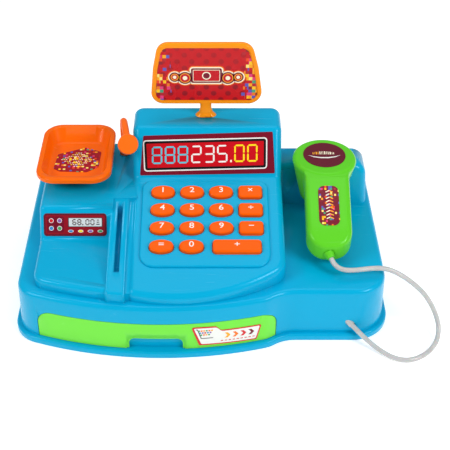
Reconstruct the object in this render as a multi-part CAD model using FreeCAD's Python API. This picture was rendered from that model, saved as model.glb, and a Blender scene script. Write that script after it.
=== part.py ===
"""Toy cash register with a hand scanner: one STEP file per separate piece, in millimetres.

X runs to the right, Y to the back and Z up. The origin is the middle of the foot, on the table.
"""

import FreeCAD, Part
import math
import os

Vector = FreeCAD.Vector

# Foot, deck and walls of the housing
FOOT_HALF_WIDTH = 150.0
FOOT_BACK = 93.3
FOOT_HEIGHT = 6.0
FOOT_RING = 9.0
BULGE_CENTRE = (-31.5, 216.2)
BULGE_RADIUS = 309.5
BULGE_RIGHT_END = 50.0
FRONT_LEFT_RADIUS = 25.0
FRONT_RIGHT_RADIUS = 30.0
BACK_RADIUS = 14.0
STRAIGHT_FRONT = -73.5
S_BEND_RADIUS = 20.0
S_BEND_ANGLE = 36.0
FOOT_LEDGE = 3.8
WALL_DRAFT = 1.6
DECK_HEIGHT = 48.0
DECK_ROUNDING = 4.0
WALL = 2.2
BURIED = 30.0
HIGH = 220.0
FAR = 200.0

# Console: sloped key panel and display box
CONSOLE_LEFT = -57.3
CONSOLE_RIGHT = 65.5
CONSOLE_BACK = 86.5
CONSOLE_FRONT_ARC = ((-57.3, -78.6), (-9.0, -82.8), (65.5, -54.5))
PANEL_HEIGHT = 77.0
PANEL_RISE = 0.25
DISPLAY_FOOT = 30.8
DISPLAY_LEAN = 33.0
DISPLAY_TOP = 119.5
CONSOLE_ROUNDING = 6.0
CREASE = 3.0
PANEL_ANGLE = math.degrees(math.atan(PANEL_RISE))

# Raised key pad and the keys, in the panel's own plane
PAD_LEFT, PAD_RIGHT = -49.0, 53.5
PAD_NEAR, PAD_FAR = -59.0, 27.0
PAD_HEIGHT = 2.0
KEY_WIDTH, KEY_DEPTH = 19.2, 12.4
KEY_END_RADIUS = 5.2
KEY_SQUARE_RADIUS = 3.0
KEY_PROUD = 3.2
KEY_GAP = 0.55
KEY_FLANGE = 1.0
KEY_COLUMNS = (-31.9, -8.3, 15.2, 38.9)
KEY_ROWS = (13.35, -4.75, -22.9, -41.05)
WIDE_KEY_X = 27.3
WIDE_KEY_WIDTH = 38.2
KEY_NAMES = (
    ("1", "2", "3", "multiply"),
    ("4", "5", "6", "divide"),
    ("7", "8", "9", "minus"),
    ("equals", "0", "plus"),
)

KEY_TRAVEL = 2.0
KEY_UNDERSIDE = -1.7
KEY_FLANGE_THICKNESS = 1.2
BOARD_TOP = -8.4
BOARD_THICKNESS = 1.6
MAT_THICKNESS = 0.9
DOME_RISE = 0.3
PLUNGER_END = BOARD_TOP + MAT_THICKNESS + DOME_RISE + 0.2 + KEY_TRAVEL
BOARD_POSTS_X = (-46.0, 50.5)
BOARD_POSTS_Y = (-51.5, -13.8, 24.5)
BOARD_LEFT, BOARD_RIGHT = -50.0, 54.5
BOARD_NEAR, BOARD_FAR = -55.0, 27.5

# Scale block and card-slot ridge on the left
BLOCK_LEFT = -131.0
BLOCK_TOP = 80.5
BLOCK_BACK = 86.0
PLATFORM_HEIGHT = 57.5
PLATFORM_BACK = -17.0
SLANT_TOP = -3.0
BLOCK_FRONT_INSET = 13.0
RIDGE_LEFT, RIDGE_RIGHT = -74.0, -58.9
RIDGE_FRONT_INSET = 10.6
RIDGE_START = 8.0
RIDGE_DROP = 0.9
SLOT_LEFT, SLOT_RIGHT = -68.7, -63.9
SLOT_NEAR, SLOT_FAR = -50.0, 4.0
SLOT_DEPTH = 13.0

# Scanner cradle on the right
CRADLE_RIGHT = 140.5
CRADLE_FRONT = 41.0
CRADLE_BACK = 74.0
CRADLE_TOP = 84.0
CRADLE_LEAN = 9.0
CRADLE_CORNER = 12.0
CRADLE_KINK = DECK_HEIGHT - 5.0
CRADLE_ROUNDING = 6.0
SCANNER_X, SCANNER_Y = 100.5, 39.5
HEAD_TOP = 100.0
HEAD_BOTTOM = 63.0
HEAD_TOP_RADIUS = 27.0
HEAD_BOTTOM_RADIUS = 18.5
CRADLE_GAP = 0.8

# Hand scanner
GRIP_WIDTH = 36.0
GRIP_THICKNESS = 20.0
GRIP_RISE = 0.568
GRIP_NEAR = -40.0
GRIP_CREASE = 13.0
SHELL_WALL = 2.0
TRIGGER_NEAR, TRIGGER_FAR = -15.0, -3.0
TRIGGER_HALF_WIDTH = 5.5
TRIGGER_TRAVEL = 1.4
TRIGGER_PROUD = TRIGGER_TRAVEL + 0.4
LENS_RADIUS = 11.5
NUB_RADIUS, NUB_TIP_RADIUS, NUB_LENGTH = 4.6, 3.0, 5.0

# Scale pan
PAN_X, PAN_Y = -104.8, 51.5
PAN_RIM_WIDTH, PAN_RIM_DEPTH = 57.0, 77.0
PAN_FLOOR_WIDTH, PAN_FLOOR_DEPTH = 49.0, 56.0
PAN_FLOOR_ROUNDING = 5.0
PAN_TRAVEL = 3.5
PAN_UNDERSIDE = BLOCK_TOP + PAN_TRAVEL + 1.0
PAN_RIM_HEIGHT = 97.0
PAN_WALL = 1.8
PAN_LIP = 2.2
PAN_LIP_HEIGHT = 4.0
PAN_STEM_RADIUS = 6.0
PAN_SLEEVE_RADIUS = 6.4
PAN_STEM_END = 70.0
PAN_CUP_FLOOR = 60.0

# Sign
SIGN_X, SIGN_Y = 2.8, 72.0
SIGN_OUTLINE = (
    (-42.9, 131.2, 10.0), (50.4, 131.2, 11.0), (45.6, 164.0, 30.0), (39.6, 187.0, 11.0),
    (-35.5, 187.0, 10.0), (-40.0, 164.0, 30.0))
SIGN_BOTTOM = 131.2
SIGN_THICKNESS = 5.0
SIGN_BORDER = 3.6
SIGN_RECESS = 0.8
SIGN_POST_RADIUS = 4.2
SIGN_COLLAR_WIDTH, SIGN_COLLAR_DEPTH = 17.2, 9.4
SIGN_COLLAR_HEIGHT = 7.0
SIGN_NECK_WIDTH = 9.4
SIGN_SOCKET_RADIUS = SIGN_POST_RADIUS + 0.05
SIGN_PLUG_END = 98.0

# Microphone
MIC_FOOT = (-66.5, 72.0)
MIC_HEAD = (-60.2, 34.5)
MIC_TOP = 116.5
MIC_HEAD_HEIGHT = 115.0
MIC_ROD_RADIUS = 3.0
MIC_HEAD_RADIUS = 8.2
MIC_HEAD_DEPTH = 7.5
MIC_TILT = 38.0
MIC_SOCKET_RADIUS = 3.05
MIC_PLUG_END = 64.0

# Drawer
DRAWER_LEFT, DRAWER_RIGHT = -129.0, 58.0
DRAWER_TOP = 32.0
DRAWER_BOTTOM = FOOT_HEIGHT + 0.5
DRAWER_CORNER = 12.0
DRAWER_GAP = 0.5
DRAWER_FRONT_WALL = 2.6
TRAY_LEFT, TRAY_RIGHT = -124.0, 53.0
TRAY_FRONT, TRAY_BACK = -74.0, 24.0
TRAY_BOTTOM, TRAY_TOP = 17.8, 29.0
TRAY_WALL = 1.8
NOTCH_LEFT, NOTCH_RIGHT = -57.0, -15.0
NOTCH_TOP = 16.6
NOTCH_STEP, NOTCH_STEP_DEPTH = 1.8, 0.9
SILL_TOP = 17.3
SILL_INSET = 3.2

# Batteries, speaker and fasteners
CELL_RADIUS, CELL_LENGTH = 7.1, 49.2
CELL_NUB_RADIUS, CELL_NUB = 2.7, 1.2
CELL_ROWS = (47.5, 63.0)
CELL_HEIGHT = 10.5
BAY_LEFT, BAY_RIGHT = -32.0, 32.0
BAY_FRONT, BAY_BACK = 39.0, 71.5
BAY_TOP = 19.0
DOOR_MARGIN = 4.0
FLOOR = 2.2
SPEAKER_X, SPEAKER_Y = 101.0, -12.0
SPEAKER_RADIUS = 20.0
SCREW_SHANK, SCREW_HEAD = 1.5, 3.0
POSTS = (
    (-134.0, -22.0), (-134.0, 74.0), (-66.5, 60.0), (76.0, 76.0),
    (132.0, 76.0), (133.0, -40.0), (73.0, -58.0), (74.0, 20.0),
)
POST_RADIUS = 4.0
POST_FOOT = 10.0
SCREW_SEAT = 4.0
DOOR_SCREW_X, DOOR_SCREW_Y = 40.0, 55.3
DOOR_CUP_TOP, DOOR_CUP_RADIUS = 3.6, 4.4

# Labels
LABEL_THICKNESS = 0.3
DRAWER_LABEL = ((-2.4, 9.5), (42.9, 8.8), (46.4, 23.6), (14.7, 23.6), (10.7, 28.0), (-8.2, 28.4))
DISPLAY_LABEL = ((-51.5, 1.6), (59.8, 3.4), (57.8, 37.6), (-48.6, 34.2))
SCALE_LABEL = (-127.5, -77.0, 3.0, 21.4)
PAN_LABEL = (
    (-19.0, -11.5), (-13.5, -15.5), (9.0, -16.5), (18.0, -9.0),
    (18.8, 12.5), (5.0, 19.0), (-5.0, 14.5), (-17.5, 9.0))
HEAD_LABEL_Y = 41.0
HEAD_LABEL_RADIUS = 17.4
GRIP_LABEL = (8.2, -28.5, 5.5)
SCANNER_SCREWS_Y = (-27.0, 5.0)
DIVIDER_Y = (-38.0,)
DIVIDER_X = (-80.0, -36.5, 7.0)

# Cord
CORD_RADIUS = 1.95
CORD_ROUTE = (
    (101.2, -43.0, 60.0), (103.4, -48.8, 57.6), (110.5, -52.8, 56.2), (121.0, -51.8, 55.6),
    (132.0, -49.6, 55.6), (143.5, -49.0, 55.2), (154.0, -50.6, 51.2), (165.0, -53.0, 44.0),
    (176.0, -55.5, 34.0), (184.5, -58.5, 20.5), (189.0, -65.0, 9.5), (187.5, -74.5, 3.4),
    (181.5, -84.5, 2.3), (172.0, -93.5, 2.3), (160.5, -97.8, 2.3), (150.0, -95.5, 2.4),
    (141.0, -89.0, 3.0), (133.0, -82.0, 5.2), (125.5, -76.0, 9.2), (118.6, -70.3, 14.0),
)


def polar(centre, radius, degrees):
    """Return the point at an angle on a circle, as (x, y)."""
    a = math.radians(degrees)
    return centre[0] + radius * math.cos(a), centre[1] + radius * math.sin(a)


def foot_outline(inset, z):
    """Return the closed outline of the foot, moved inwards by inset, at height z."""
    reach = BULGE_RADIUS - FRONT_LEFT_RADIUS
    across = -FOOT_HALF_WIDTH + FRONT_LEFT_RADIUS - BULGE_CENTRE[0]
    left_angle = math.degrees(math.atan2(-math.sqrt(reach**2 - across**2), across))
    left_centre = polar(BULGE_CENTRE, reach, left_angle)
    end_angle = -math.degrees(math.acos((BULGE_RIGHT_END - BULGE_CENTRE[0]) / BULGE_RADIUS))
    convex_centre = polar(BULGE_CENTRE, BULGE_RADIUS - S_BEND_RADIUS, end_angle)
    turn_angle = S_BEND_ANGLE - 90.0
    turn_point = polar(convex_centre, S_BEND_RADIUS, turn_angle)
    concave_radius = (STRAIGHT_FRONT - turn_point[1]) / (1.0 - math.cos(math.radians(S_BEND_ANGLE)))
    concave_centre = polar(turn_point, concave_radius, turn_angle)
    right_centre = (FOOT_HALF_WIDTH - FRONT_RIGHT_RADIUS, STRAIGHT_FRONT + FRONT_RIGHT_RADIUS)
    back_x, back_y = FOOT_HALF_WIDTH - BACK_RADIUS, FOOT_BACK - BACK_RADIUS
    arcs = [
        (left_centre, FRONT_LEFT_RADIUS - inset, 180.0, left_angle + 360.0),
        (BULGE_CENTRE, BULGE_RADIUS - inset, left_angle, end_angle),
        (convex_centre, S_BEND_RADIUS - inset, end_angle, turn_angle),
        (concave_centre, concave_radius + inset, turn_angle + 180.0, 90.0),
        (right_centre, FRONT_RIGHT_RADIUS - inset, -90.0, 0.0),
        ((back_x, back_y), BACK_RADIUS - inset, 0.0, 90.0),
        ((-back_x, back_y), BACK_RADIUS - inset, 90.0, 180.0),
    ]
    edges = []
    first = last = None
    for centre, radius, start, end in arcs:
        points = [Vector(*polar(centre, radius, a), z) for a in (start, (start + end) / 2.0, end)]
        if last is not None and last.distanceToPoint(points[0]) > 1e-4:
            edges.append(Part.LineSegment(last, points[0]).toShape())
        edges.append(Part.Arc(*points).toShape())
        first = first or points[0]
        last = points[2]
    edges.append(Part.LineSegment(last, first).toShape())
    return Part.Wire(edges)


def rounded_loop(corners):
    """Return a closed wire at z = 0 through corners (x, y, radius), each rounded by its radius."""
    count = len(corners)
    spans = []
    for i, (x, y, radius) in enumerate(corners):
        here = Vector(x, y, 0)
        before = Vector(*corners[i - 1][:2], 0) - here
        after = Vector(*corners[(i + 1) % count][:2], 0) - here
        before.normalize()
        after.normalize()
        if radius <= 0:
            spans.append((here, None, here))
            continue
        half = before.getAngle(after) / 2.0
        middle = (before + after).normalize()
        centre = here + middle * (radius / math.sin(half))
        reach = radius / math.tan(half)
        spans.append((here + before * reach, centre - middle * radius, here + after * reach))
    edges = []
    for i, (start, middle, end) in enumerate(spans):
        if middle is not None:
            edges.append(Part.Arc(start, middle, end).toShape())
        following = spans[(i + 1) % count][0]
        if end.distanceToPoint(following) > 1e-4:
            edges.append(Part.LineSegment(end, following).toShape())
    return Part.Wire(edges)


def rounded_box(x0, x1, y0, y1, z0, z1, radius):
    """Return a box with its upright edges rounded."""
    loop = rounded_loop([(x0, y0, radius), (x1, y0, radius), (x1, y1, radius), (x0, y1, radius)])
    loop.translate(Vector(0, 0, z0))
    return Part.Face(loop).extrude(Vector(0, 0, z1 - z0))


def box(x0, x1, y0, y1, z0, z1):
    """Return a plain box between two corners."""
    return Part.makeBox(x1 - x0, y1 - y0, z1 - z0, Vector(x0, y0, z0))


def drum(x, y, z0, z1, radius):
    """Return an upright cylinder."""
    return Part.makeCylinder(radius, z1 - z0, Vector(x, y, z0))


def side_profile(points, x0, x1):
    """Return a prism along X whose section is a polygon of (y, z) points."""
    loop = Part.makePolygon([Vector(x0, y, z) for y, z in points + points[:1]])
    return Part.Face(loop).extrude(Vector(x1 - x0, 0, 0))


def front_profile(corners, y0, y1):
    """Return a prism along Y whose section is a rounded loop of (x, z, radius) corners."""
    loop = rounded_loop(corners)
    loop.rotate(Vector(0, 0, 0), Vector(1, 0, 0), 90)
    loop.translate(Vector(0, y0, 0))
    return Part.Face(loop).extrude(Vector(0, y1 - y0, 0))


def is_upright(edge):
    """Say whether an edge is a straight line along Z."""
    b = edge.BoundBox
    return b.XLength < 1e-3 and b.YLength < 1e-3


def round_edges(shape, radius, test):
    """Round every edge of a shape that passes the test."""
    chosen = [edge for edge in shape.Edges if test(edge)]
    return shape.makeFillet(radius, chosen) if chosen and radius > 0 else shape


def on_panel(shape):
    """Move a shape from the key panel's own plane to its place on the console."""
    placed = shape.copy()
    placed.rotate(Vector(0, 0, 0), Vector(1, 0, 0), PANEL_ANGLE)
    placed.translate(Vector(0, 0, PANEL_HEIGHT))
    return placed


def panel_z(y):
    """Return the height of the key panel's plane at y."""
    return PANEL_HEIGHT + PANEL_RISE * y


def deck_block(t):
    """Return the low body of the housing, drawn in by t."""
    low = foot_outline(FOOT_LEDGE + t, FOOT_HEIGHT)
    high = foot_outline(FOOT_LEDGE + WALL_DRAFT + t, DECK_HEIGHT - t)
    block = Part.makeLoft([low, high], True, True)
    return round_edges(block, DECK_ROUNDING - t, lambda e: e.BoundBox.ZMin > DECK_HEIGHT - t - 0.1)


def console(t):
    """Return the console with its key panel and display box, drawn in by t."""
    a, b, c = (Vector(x, y, 0) for x, y in CONSOLE_FRONT_ARC)
    back_right, back_left = Vector(CONSOLE_RIGHT, CONSOLE_BACK, 0), Vector(CONSOLE_LEFT, CONSOLE_BACK, 0)
    outline = Part.Wire([
        Part.Arc(a, b, c).toShape(),
        Part.LineSegment(c, back_right).toShape(),
        Part.LineSegment(back_right, back_left).toShape(),
        Part.LineSegment(back_left, a).toShape(),
    ])
    if t:
        outline = outline.makeOffset2D(-t)
    outline.translate(Vector(0, 0, BURIED))
    block = Part.Face(outline).extrude(Vector(0, 0, HIGH - BURIED))
    corners = ((16.0, True, False), (6.0, False, False), (8.0, True, True), (8.0, False, True))
    for radius, on_right, at_back in corners:
        block = round_edges(block, radius - t, lambda e: is_upright(e)
                            and (e.BoundBox.XMin > 0) == on_right and (e.BoundBox.YMin > 0) == at_back)
    lean = math.tan(math.radians(DISPLAY_LEAN))
    panel = PANEL_HEIGHT - t / math.cos(math.radians(PANEL_ANGLE))
    face_y = DISPLAY_FOOT + t / math.cos(math.radians(DISPLAY_LEAN))
    foot_y = (face_y + lean * (panel - panel_z(DISPLAY_FOOT))) / (1.0 - lean * PANEL_RISE)
    foot_z = panel + PANEL_RISE * foot_y
    top = DISPLAY_TOP - t
    near = (BURIED + 1.0 - panel) / PANEL_RISE
    side = [
        (near, BURIED), (near, BURIED + 1.0), (foot_y, foot_z),
        (foot_y + lean * (top - foot_z), top), (FAR, top), (FAR, BURIED),
    ]
    block = block.common(side_profile(side, -FAR, FAR))
    block = round_edges(
        block, CREASE, lambda e: e.BoundBox.XLength > 50 and abs(e.BoundBox.ZMin - foot_z) < 0.1
        and e.BoundBox.ZLength < 0.1)
    return round_edges(block, CONSOLE_ROUNDING - t, lambda e: not is_upright(e) and is_outer(e, foot_z))


def is_outer(edge, foot_z):
    """Say whether an edge of the console is on its upper rim, and not in the crease or buried."""
    b = edge.BoundBox
    in_crease = b.XLength > 50 and b.ZLength < 1e-2 and abs(b.ZMin - foot_z) < 4.0
    return b.ZMin > BURIED + 1.0 and not in_crease


def bulge_y(x, inset):
    """Return the y of the front bulge at x, moved inwards by inset."""
    return BULGE_CENTRE[1] - math.sqrt((BULGE_RADIUS - inset) ** 2 - (x - BULGE_CENTRE[0]) ** 2)


def fronted_block(x0, x1, front_inset, back, corner_radii, profile):
    """Return a prism with a bulged front, cut to a side profile; corner radii go front left, back left."""
    front = [Vector(x, bulge_y(x, front_inset), BURIED) for x in (x0, (x0 + x1) / 2.0, x1)]
    right, left = Vector(x1, back, BURIED), Vector(x0, back, BURIED)
    outline = Part.Wire([
        Part.Arc(*front).toShape(),
        Part.LineSegment(front[2], right).toShape(),
        Part.LineSegment(right, left).toShape(),
        Part.LineSegment(left, front[0]).toShape(),
    ])
    block = Part.Face(outline).extrude(Vector(0, 0, HIGH - BURIED))
    for radius, at_back in zip(corner_radii, (False, True)):
        block = round_edges(block, radius, lambda e: is_upright(e) and abs(e.BoundBox.XMin - x0) < 1e-3
                            and (e.BoundBox.YMin > 0) == at_back)
    return block.common(side_profile(profile, -FAR, FAR))


def scale_block(t):
    """Return the block under the scale, with its platform and slanted label face, drawn in by t."""
    slant = (SLANT_TOP - PLATFORM_BACK) / (BLOCK_TOP - PLATFORM_HEIGHT)
    shift = t * (math.sqrt(1.0 + slant**2) - slant)
    profile = [
        (-FAR, BURIED), (-FAR, PLATFORM_HEIGHT - t), (PLATFORM_BACK + shift, PLATFORM_HEIGHT - t),
        (SLANT_TOP + shift, BLOCK_TOP - t), (FAR, BLOCK_TOP - t), (FAR, BURIED),
    ]
    right = RIDGE_LEFT + 2.0 - t
    block = fronted_block(
        BLOCK_LEFT + t, right, BLOCK_FRONT_INSET + t, BLOCK_BACK - t, (12.0 - t, 8.0 - t), profile)
    block = round_edges(
        block, CREASE, lambda e: e.BoundBox.XLength > 40 and abs(e.BoundBox.YMin - PLATFORM_BACK) < 3
        and e.BoundBox.YLength < 0.1)

    def is_open_edge(edge):
        bounds = edge.BoundBox
        in_crease = (bounds.ZMax < PLATFORM_HEIGHT + 3.5 and bounds.YMin > PLATFORM_BACK - 5
                     and bounds.XLength > 40)
        return bounds.ZMin > BURIED + 1.0 and bounds.XMin < right - 0.1 and not is_upright(edge) and not in_crease
    return round_edges(block, 4.0 - t, is_open_edge)


def card_ridge(t):
    """Return the ridge beside the console, in front of the shelf, drawn in by t."""
    start_z = BLOCK_TOP - RIDGE_DROP - t
    near = RIDGE_START - (start_z - BURIED - 1.0) / PANEL_RISE
    profile = [(near, BURIED), (near, BURIED + 1.0), (RIDGE_START, start_z), (RIDGE_START, BURIED)]
    block = fronted_block(RIDGE_LEFT + t, RIDGE_RIGHT - t, RIDGE_FRONT_INSET + t, FAR, (0.0, 0.0), profile)
    return round_edges(block, 2.5 - t, lambda e: not is_upright(e) and e.BoundBox.ZMin > BURIED + 1.0
                       and e.BoundBox.YMin < RIDGE_START - 1.0)


def slot_cutter(grow):
    """Return the card slot's own space, grown by a wall thickness."""
    def top(y):
        return BLOCK_TOP + PANEL_RISE * (y - RIDGE_START)
    depth = SLOT_DEPTH + grow
    ramp = SLOT_NEAR - SLOT_DEPTH
    profile = [
        (ramp - 4.0 - grow, top(ramp) + 3.0), (SLOT_NEAR - grow, top(SLOT_NEAR) - depth),
        (SLOT_FAR + grow, top(SLOT_FAR) - depth), (SLOT_FAR + grow, top(SLOT_FAR) + 8.0),
        (ramp - 4.0 - grow, top(ramp) + 8.0),
    ]
    cutter = side_profile(profile, SLOT_LEFT - grow, SLOT_RIGHT + grow)
    return cutter


def shelf(t):
    """Return the flat ground behind the ridge, between the scale block and the console."""
    return box(
        RIDGE_LEFT - 4.0 + t, CONSOLE_LEFT + 4.0, RIDGE_START + t, BLOCK_BACK - t, BURIED, BLOCK_TOP - t)


def ridge_gap_filler(t):
    """Return the sunken strip between the ridge and the console."""
    near = bulge_y(RIDGE_RIGHT, RIDGE_FRONT_INSET) + 3.0 + t
    drop = 3.5 + t

    def top(y):
        return BLOCK_TOP + PANEL_RISE * (y - RIDGE_START) - drop
    far = RIDGE_START + 2.0
    profile = [(near, BURIED), (near, top(near)), (far, top(far)), (far, BURIED)]
    return side_profile(profile, RIDGE_RIGHT - 2.0 - 2.0 * t, CONSOLE_LEFT + 2.0 + 2.0 * t)


def cradle(t):
    """Return the block that holds the scanner's head, drawn in by t."""
    left = CONSOLE_RIGHT - 4.0
    front = [
        (left, BURIED, 0.0), (CRADLE_RIGHT + 1.0 - t, BURIED, 0.0), (CRADLE_RIGHT - t, CRADLE_KINK, 0.0),
        (CRADLE_RIGHT - 2.5 - t, CRADLE_TOP - t, CRADLE_CORNER - t), (left, CRADLE_TOP - t, 0.0),
    ]
    block = front_profile(front, CRADLE_FRONT - 20.0, CRADLE_BACK - t)
    lean = [
        (CRADLE_FRONT + t, BURIED), (CRADLE_FRONT + t, CRADLE_KINK),
        (CRADLE_FRONT + CRADLE_LEAN + t, CRADLE_TOP - t),
        (FAR, CRADLE_TOP - t), (FAR, BURIED),
    ]
    block = block.common(side_profile(lean, 0.0, FAR))
    return round_edges(
        block, CRADLE_ROUNDING - t, lambda e: e.BoundBox.ZMin > CRADLE_KINK - 1.0 and not is_upright(e)
        and e.BoundBox.YMax < CRADLE_FRONT + 15.0 and e.BoundBox.XMax > CONSOLE_RIGHT)


def head_cone(gap, z_top):
    """Return the scanner head's tapered body grown by a gap, up to a height."""
    slope = (HEAD_TOP_RADIUS - HEAD_BOTTOM_RADIUS) / (HEAD_TOP - HEAD_BOTTOM)
    low = HEAD_BOTTOM - gap
    return Part.makeCone(
        HEAD_BOTTOM_RADIUS + gap - slope * gap, HEAD_BOTTOM_RADIUS + gap + slope * (z_top - HEAD_BOTTOM),
        z_top - low, Vector(SCANNER_X, SCANNER_Y, low))


def oval(width, depth, end_radius):
    """Return an oval wire of four tangent arcs, centred on the origin."""
    a, b = width / 2.0 - end_radius, depth / 2.0
    flat = (a * a + b * b - end_radius**2) / (2.0 * (b - end_radius))
    spread = math.degrees(math.atan2(flat - b, a))
    arcs = [
        ((a, 0.0), end_radius, -spread, spread),
        ((0.0, b - flat), flat, spread, 180.0 - spread),
        ((-a, 0.0), end_radius, 180.0 - spread, 180.0 + spread),
        ((0.0, flat - b), flat, 180.0 + spread, 360.0 - spread),
    ]
    edges = []
    for centre, radius, start, end in arcs:
        points = [Vector(*polar(centre, radius, angle), 0) for angle in (start, (start + end) / 2.0, end)]
        edges.append(Part.Arc(*points).toShape())
    return Part.Wire(edges)


def key_outline(name, grow):
    """Return a key's outline about its own middle, grown on every side."""
    if name in ("multiply", "divide", "minus", "plus"):
        half = (WIDE_KEY_WIDTH if name == "plus" else KEY_WIDTH) / 2.0 + grow
        deep, corner = KEY_DEPTH / 2.0 + grow, KEY_SQUARE_RADIUS + grow
        return rounded_loop([
            (-half, -deep, corner), (half, -deep, corner), (half, deep, corner), (-half, deep, corner)])
    return oval(KEY_WIDTH + 2 * grow, KEY_DEPTH + 2 * grow, KEY_END_RADIUS + grow)


def key_prism(name, x, y, grow, z0, z1):
    """Return a key-shaped prism between two heights, in the panel's own plane."""
    face = Part.Face(key_outline(name, grow))
    face.translate(Vector(x, y, z0))
    return face.extrude(Vector(0, 0, z1 - z0))


def key_places():
    """Return the name and place of every key, in the panel's own plane."""
    places = []
    for y, names in zip(KEY_ROWS, KEY_NAMES):
        for x, name in zip(KEY_COLUMNS, names):
            places.append((name, WIDE_KEY_X if name == "plus" else x, y))
    return places


def key_cap(name, x, y):
    """Return one key: a rounded cap, a flange that holds it in, and a plunger."""
    top = PAD_HEIGHT + KEY_PROUD
    cap = key_prism(name, x, y, 0.0, KEY_UNDERSIDE, top)
    cap = round_edges(cap, 1.7, lambda e: e.BoundBox.ZMin > top - 0.01)
    flange = key_prism(name, x, y, KEY_GAP + KEY_FLANGE, KEY_UNDERSIDE, KEY_UNDERSIDE + KEY_FLANGE_THICKNESS)
    plunger = drum(x, y, PLUNGER_END, KEY_UNDERSIDE, 2.5)
    return on_panel(cap.fuse([flange, plunger]).removeSplitter())


def housing_solid(t):
    """Return the upper housing as one body without openings, drawn in by t."""
    first, *others = [
        maker(t) for maker in (deck_block, console, scale_block, card_ridge, shelf, ridge_gap_filler, cradle)]
    return first.fuse(others)


def key_pad(t):
    """Return the raised pad round the keys, drawn in by t."""
    corners = [
        (PAD_LEFT + t, PAD_NEAR + t, 12.0 - t), (PAD_RIGHT - t, PAD_NEAR + t, 12.0 - t),
        (PAD_RIGHT - t, PAD_FAR - t, 8.0 - t), (PAD_LEFT + t, PAD_FAR - t, 8.0 - t)]
    loop = rounded_loop(corners)
    loop.translate(Vector(0, 0, -6.0))
    pad = Part.Face(loop).extrude(Vector(0, 0, 6.0 + PAD_HEIGHT - t))
    if not t:
        pad = round_edges(pad, 1.4, lambda e: e.BoundBox.ZMin > PAD_HEIGHT - 0.01)
    return on_panel(pad)


def drawer_mouth(gap):
    """Return the opening for the drawer, grown by a gap, as a prism along Y."""
    x0, x1 = DRAWER_LEFT - gap, DRAWER_RIGHT + gap
    top, foot = DRAWER_TOP + gap, DRAWER_BOTTOM - gap
    corner = DRAWER_CORNER + gap
    outline = [(x0, foot, 0.0), (x1, foot, 0.0), (x1, top, corner), (x0, top, corner)]
    return front_profile(outline, -110.0, -66.0)


def upper_housing():
    """Return the upper housing as a shell with its bosses, posts and openings."""
    outer = housing_solid(0.0).fuse(key_pad(0.0))
    outer = outer.cut([slot_cutter(0.0), head_cone(CRADLE_GAP, HEAD_TOP + 5.0)])
    inner = housing_solid(WALL).fuse([key_pad(WALL), deck_opening()])
    inner = inner.cut([slot_cutter(WALL), head_cone(CRADLE_GAP + WALL, HEAD_TOP + 5.0)])
    bosses = [
        drum(SIGN_X, SIGN_Y, SIGN_PLUG_END - 2.0, HIGH, SIGN_SOCKET_RADIUS + 3.0),
        drum(*MIC_FOOT, MIC_PLUG_END - 2.0, HIGH, MIC_SOCKET_RADIUS + 2.5),
        drum(PAN_X, PAN_Y, PAN_CUP_FLOOR - 2.0, HIGH, PAN_SLEEVE_RADIUS + 2.0),
    ]
    bosses += [drum(x, y, POST_FOOT, HIGH, POST_RADIUS) for x, y in POSTS]
    standoffs = [
        on_panel(drum(x, y, BOARD_TOP, 0.0, 2.4)) for x in BOARD_POSTS_X for y in BOARD_POSTS_Y]
    inner = inner.cut(bosses + standoffs)
    shell = outer.cut(inner)
    holes = [
        drawer_mouth(DRAWER_GAP),
        drum(SIGN_X, SIGN_Y, SIGN_PLUG_END, HIGH, SIGN_SOCKET_RADIUS),
        drum(*MIC_FOOT, MIC_PLUG_END, HIGH, MIC_SOCKET_RADIUS),
        drum(PAN_X, PAN_Y, PAN_CUP_FLOOR, HIGH, PAN_SLEEVE_RADIUS),
        cord_rod(CORD_RADIUS + 0.7, 5.0, 12.0),
    ]
    holes += [drum(x, y, POST_FOOT - 1.0, POST_FOOT + 10.0, SCREW_SHANK - 0.05) for x, y in POSTS]
    holes += [on_panel(key_prism(name, x, y, KEY_GAP, -20.0, 20.0)) for name, x, y in key_places()]
    return shell.cut(holes)


def deck_opening():
    """Return the space under the deck that leaves the housing open at its foot."""
    low = foot_outline(FOOT_LEDGE + WALL, FOOT_HEIGHT - 1.0)
    return Part.Face(low).extrude(Vector(0, 0, 2.0))


def cord_rod(radius, before, after):
    """Return a rod along the cord's line of exit, from before the exit point to after it."""
    exit_point = Vector(*CORD_ROUTE[-1])
    inwards = (exit_point - Vector(*CORD_ROUTE[-2])).normalize()
    return Part.makeCylinder(radius, before + after, exit_point - inwards * before, inwards)


def cord_stopper():
    """Return the bush that holds the cord in the front wall."""
    flange = cord_rod(4.4, -12.6, 15.4)
    return cord_rod(CORD_RADIUS + 0.6, 0.0, 13.0).fuse(flange).removeSplitter()


def drawer_sill():
    """Return the low wall behind the drawer's front, seen through the finger notch."""
    wall = deck_block(SILL_INSET).cut(deck_block(SILL_INSET + 1.8))
    return wall.common(box(DRAWER_LEFT + 4.0, DRAWER_RIGHT - 4.0, -110.0, -60.0, 0.0, SILL_TOP))


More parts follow.
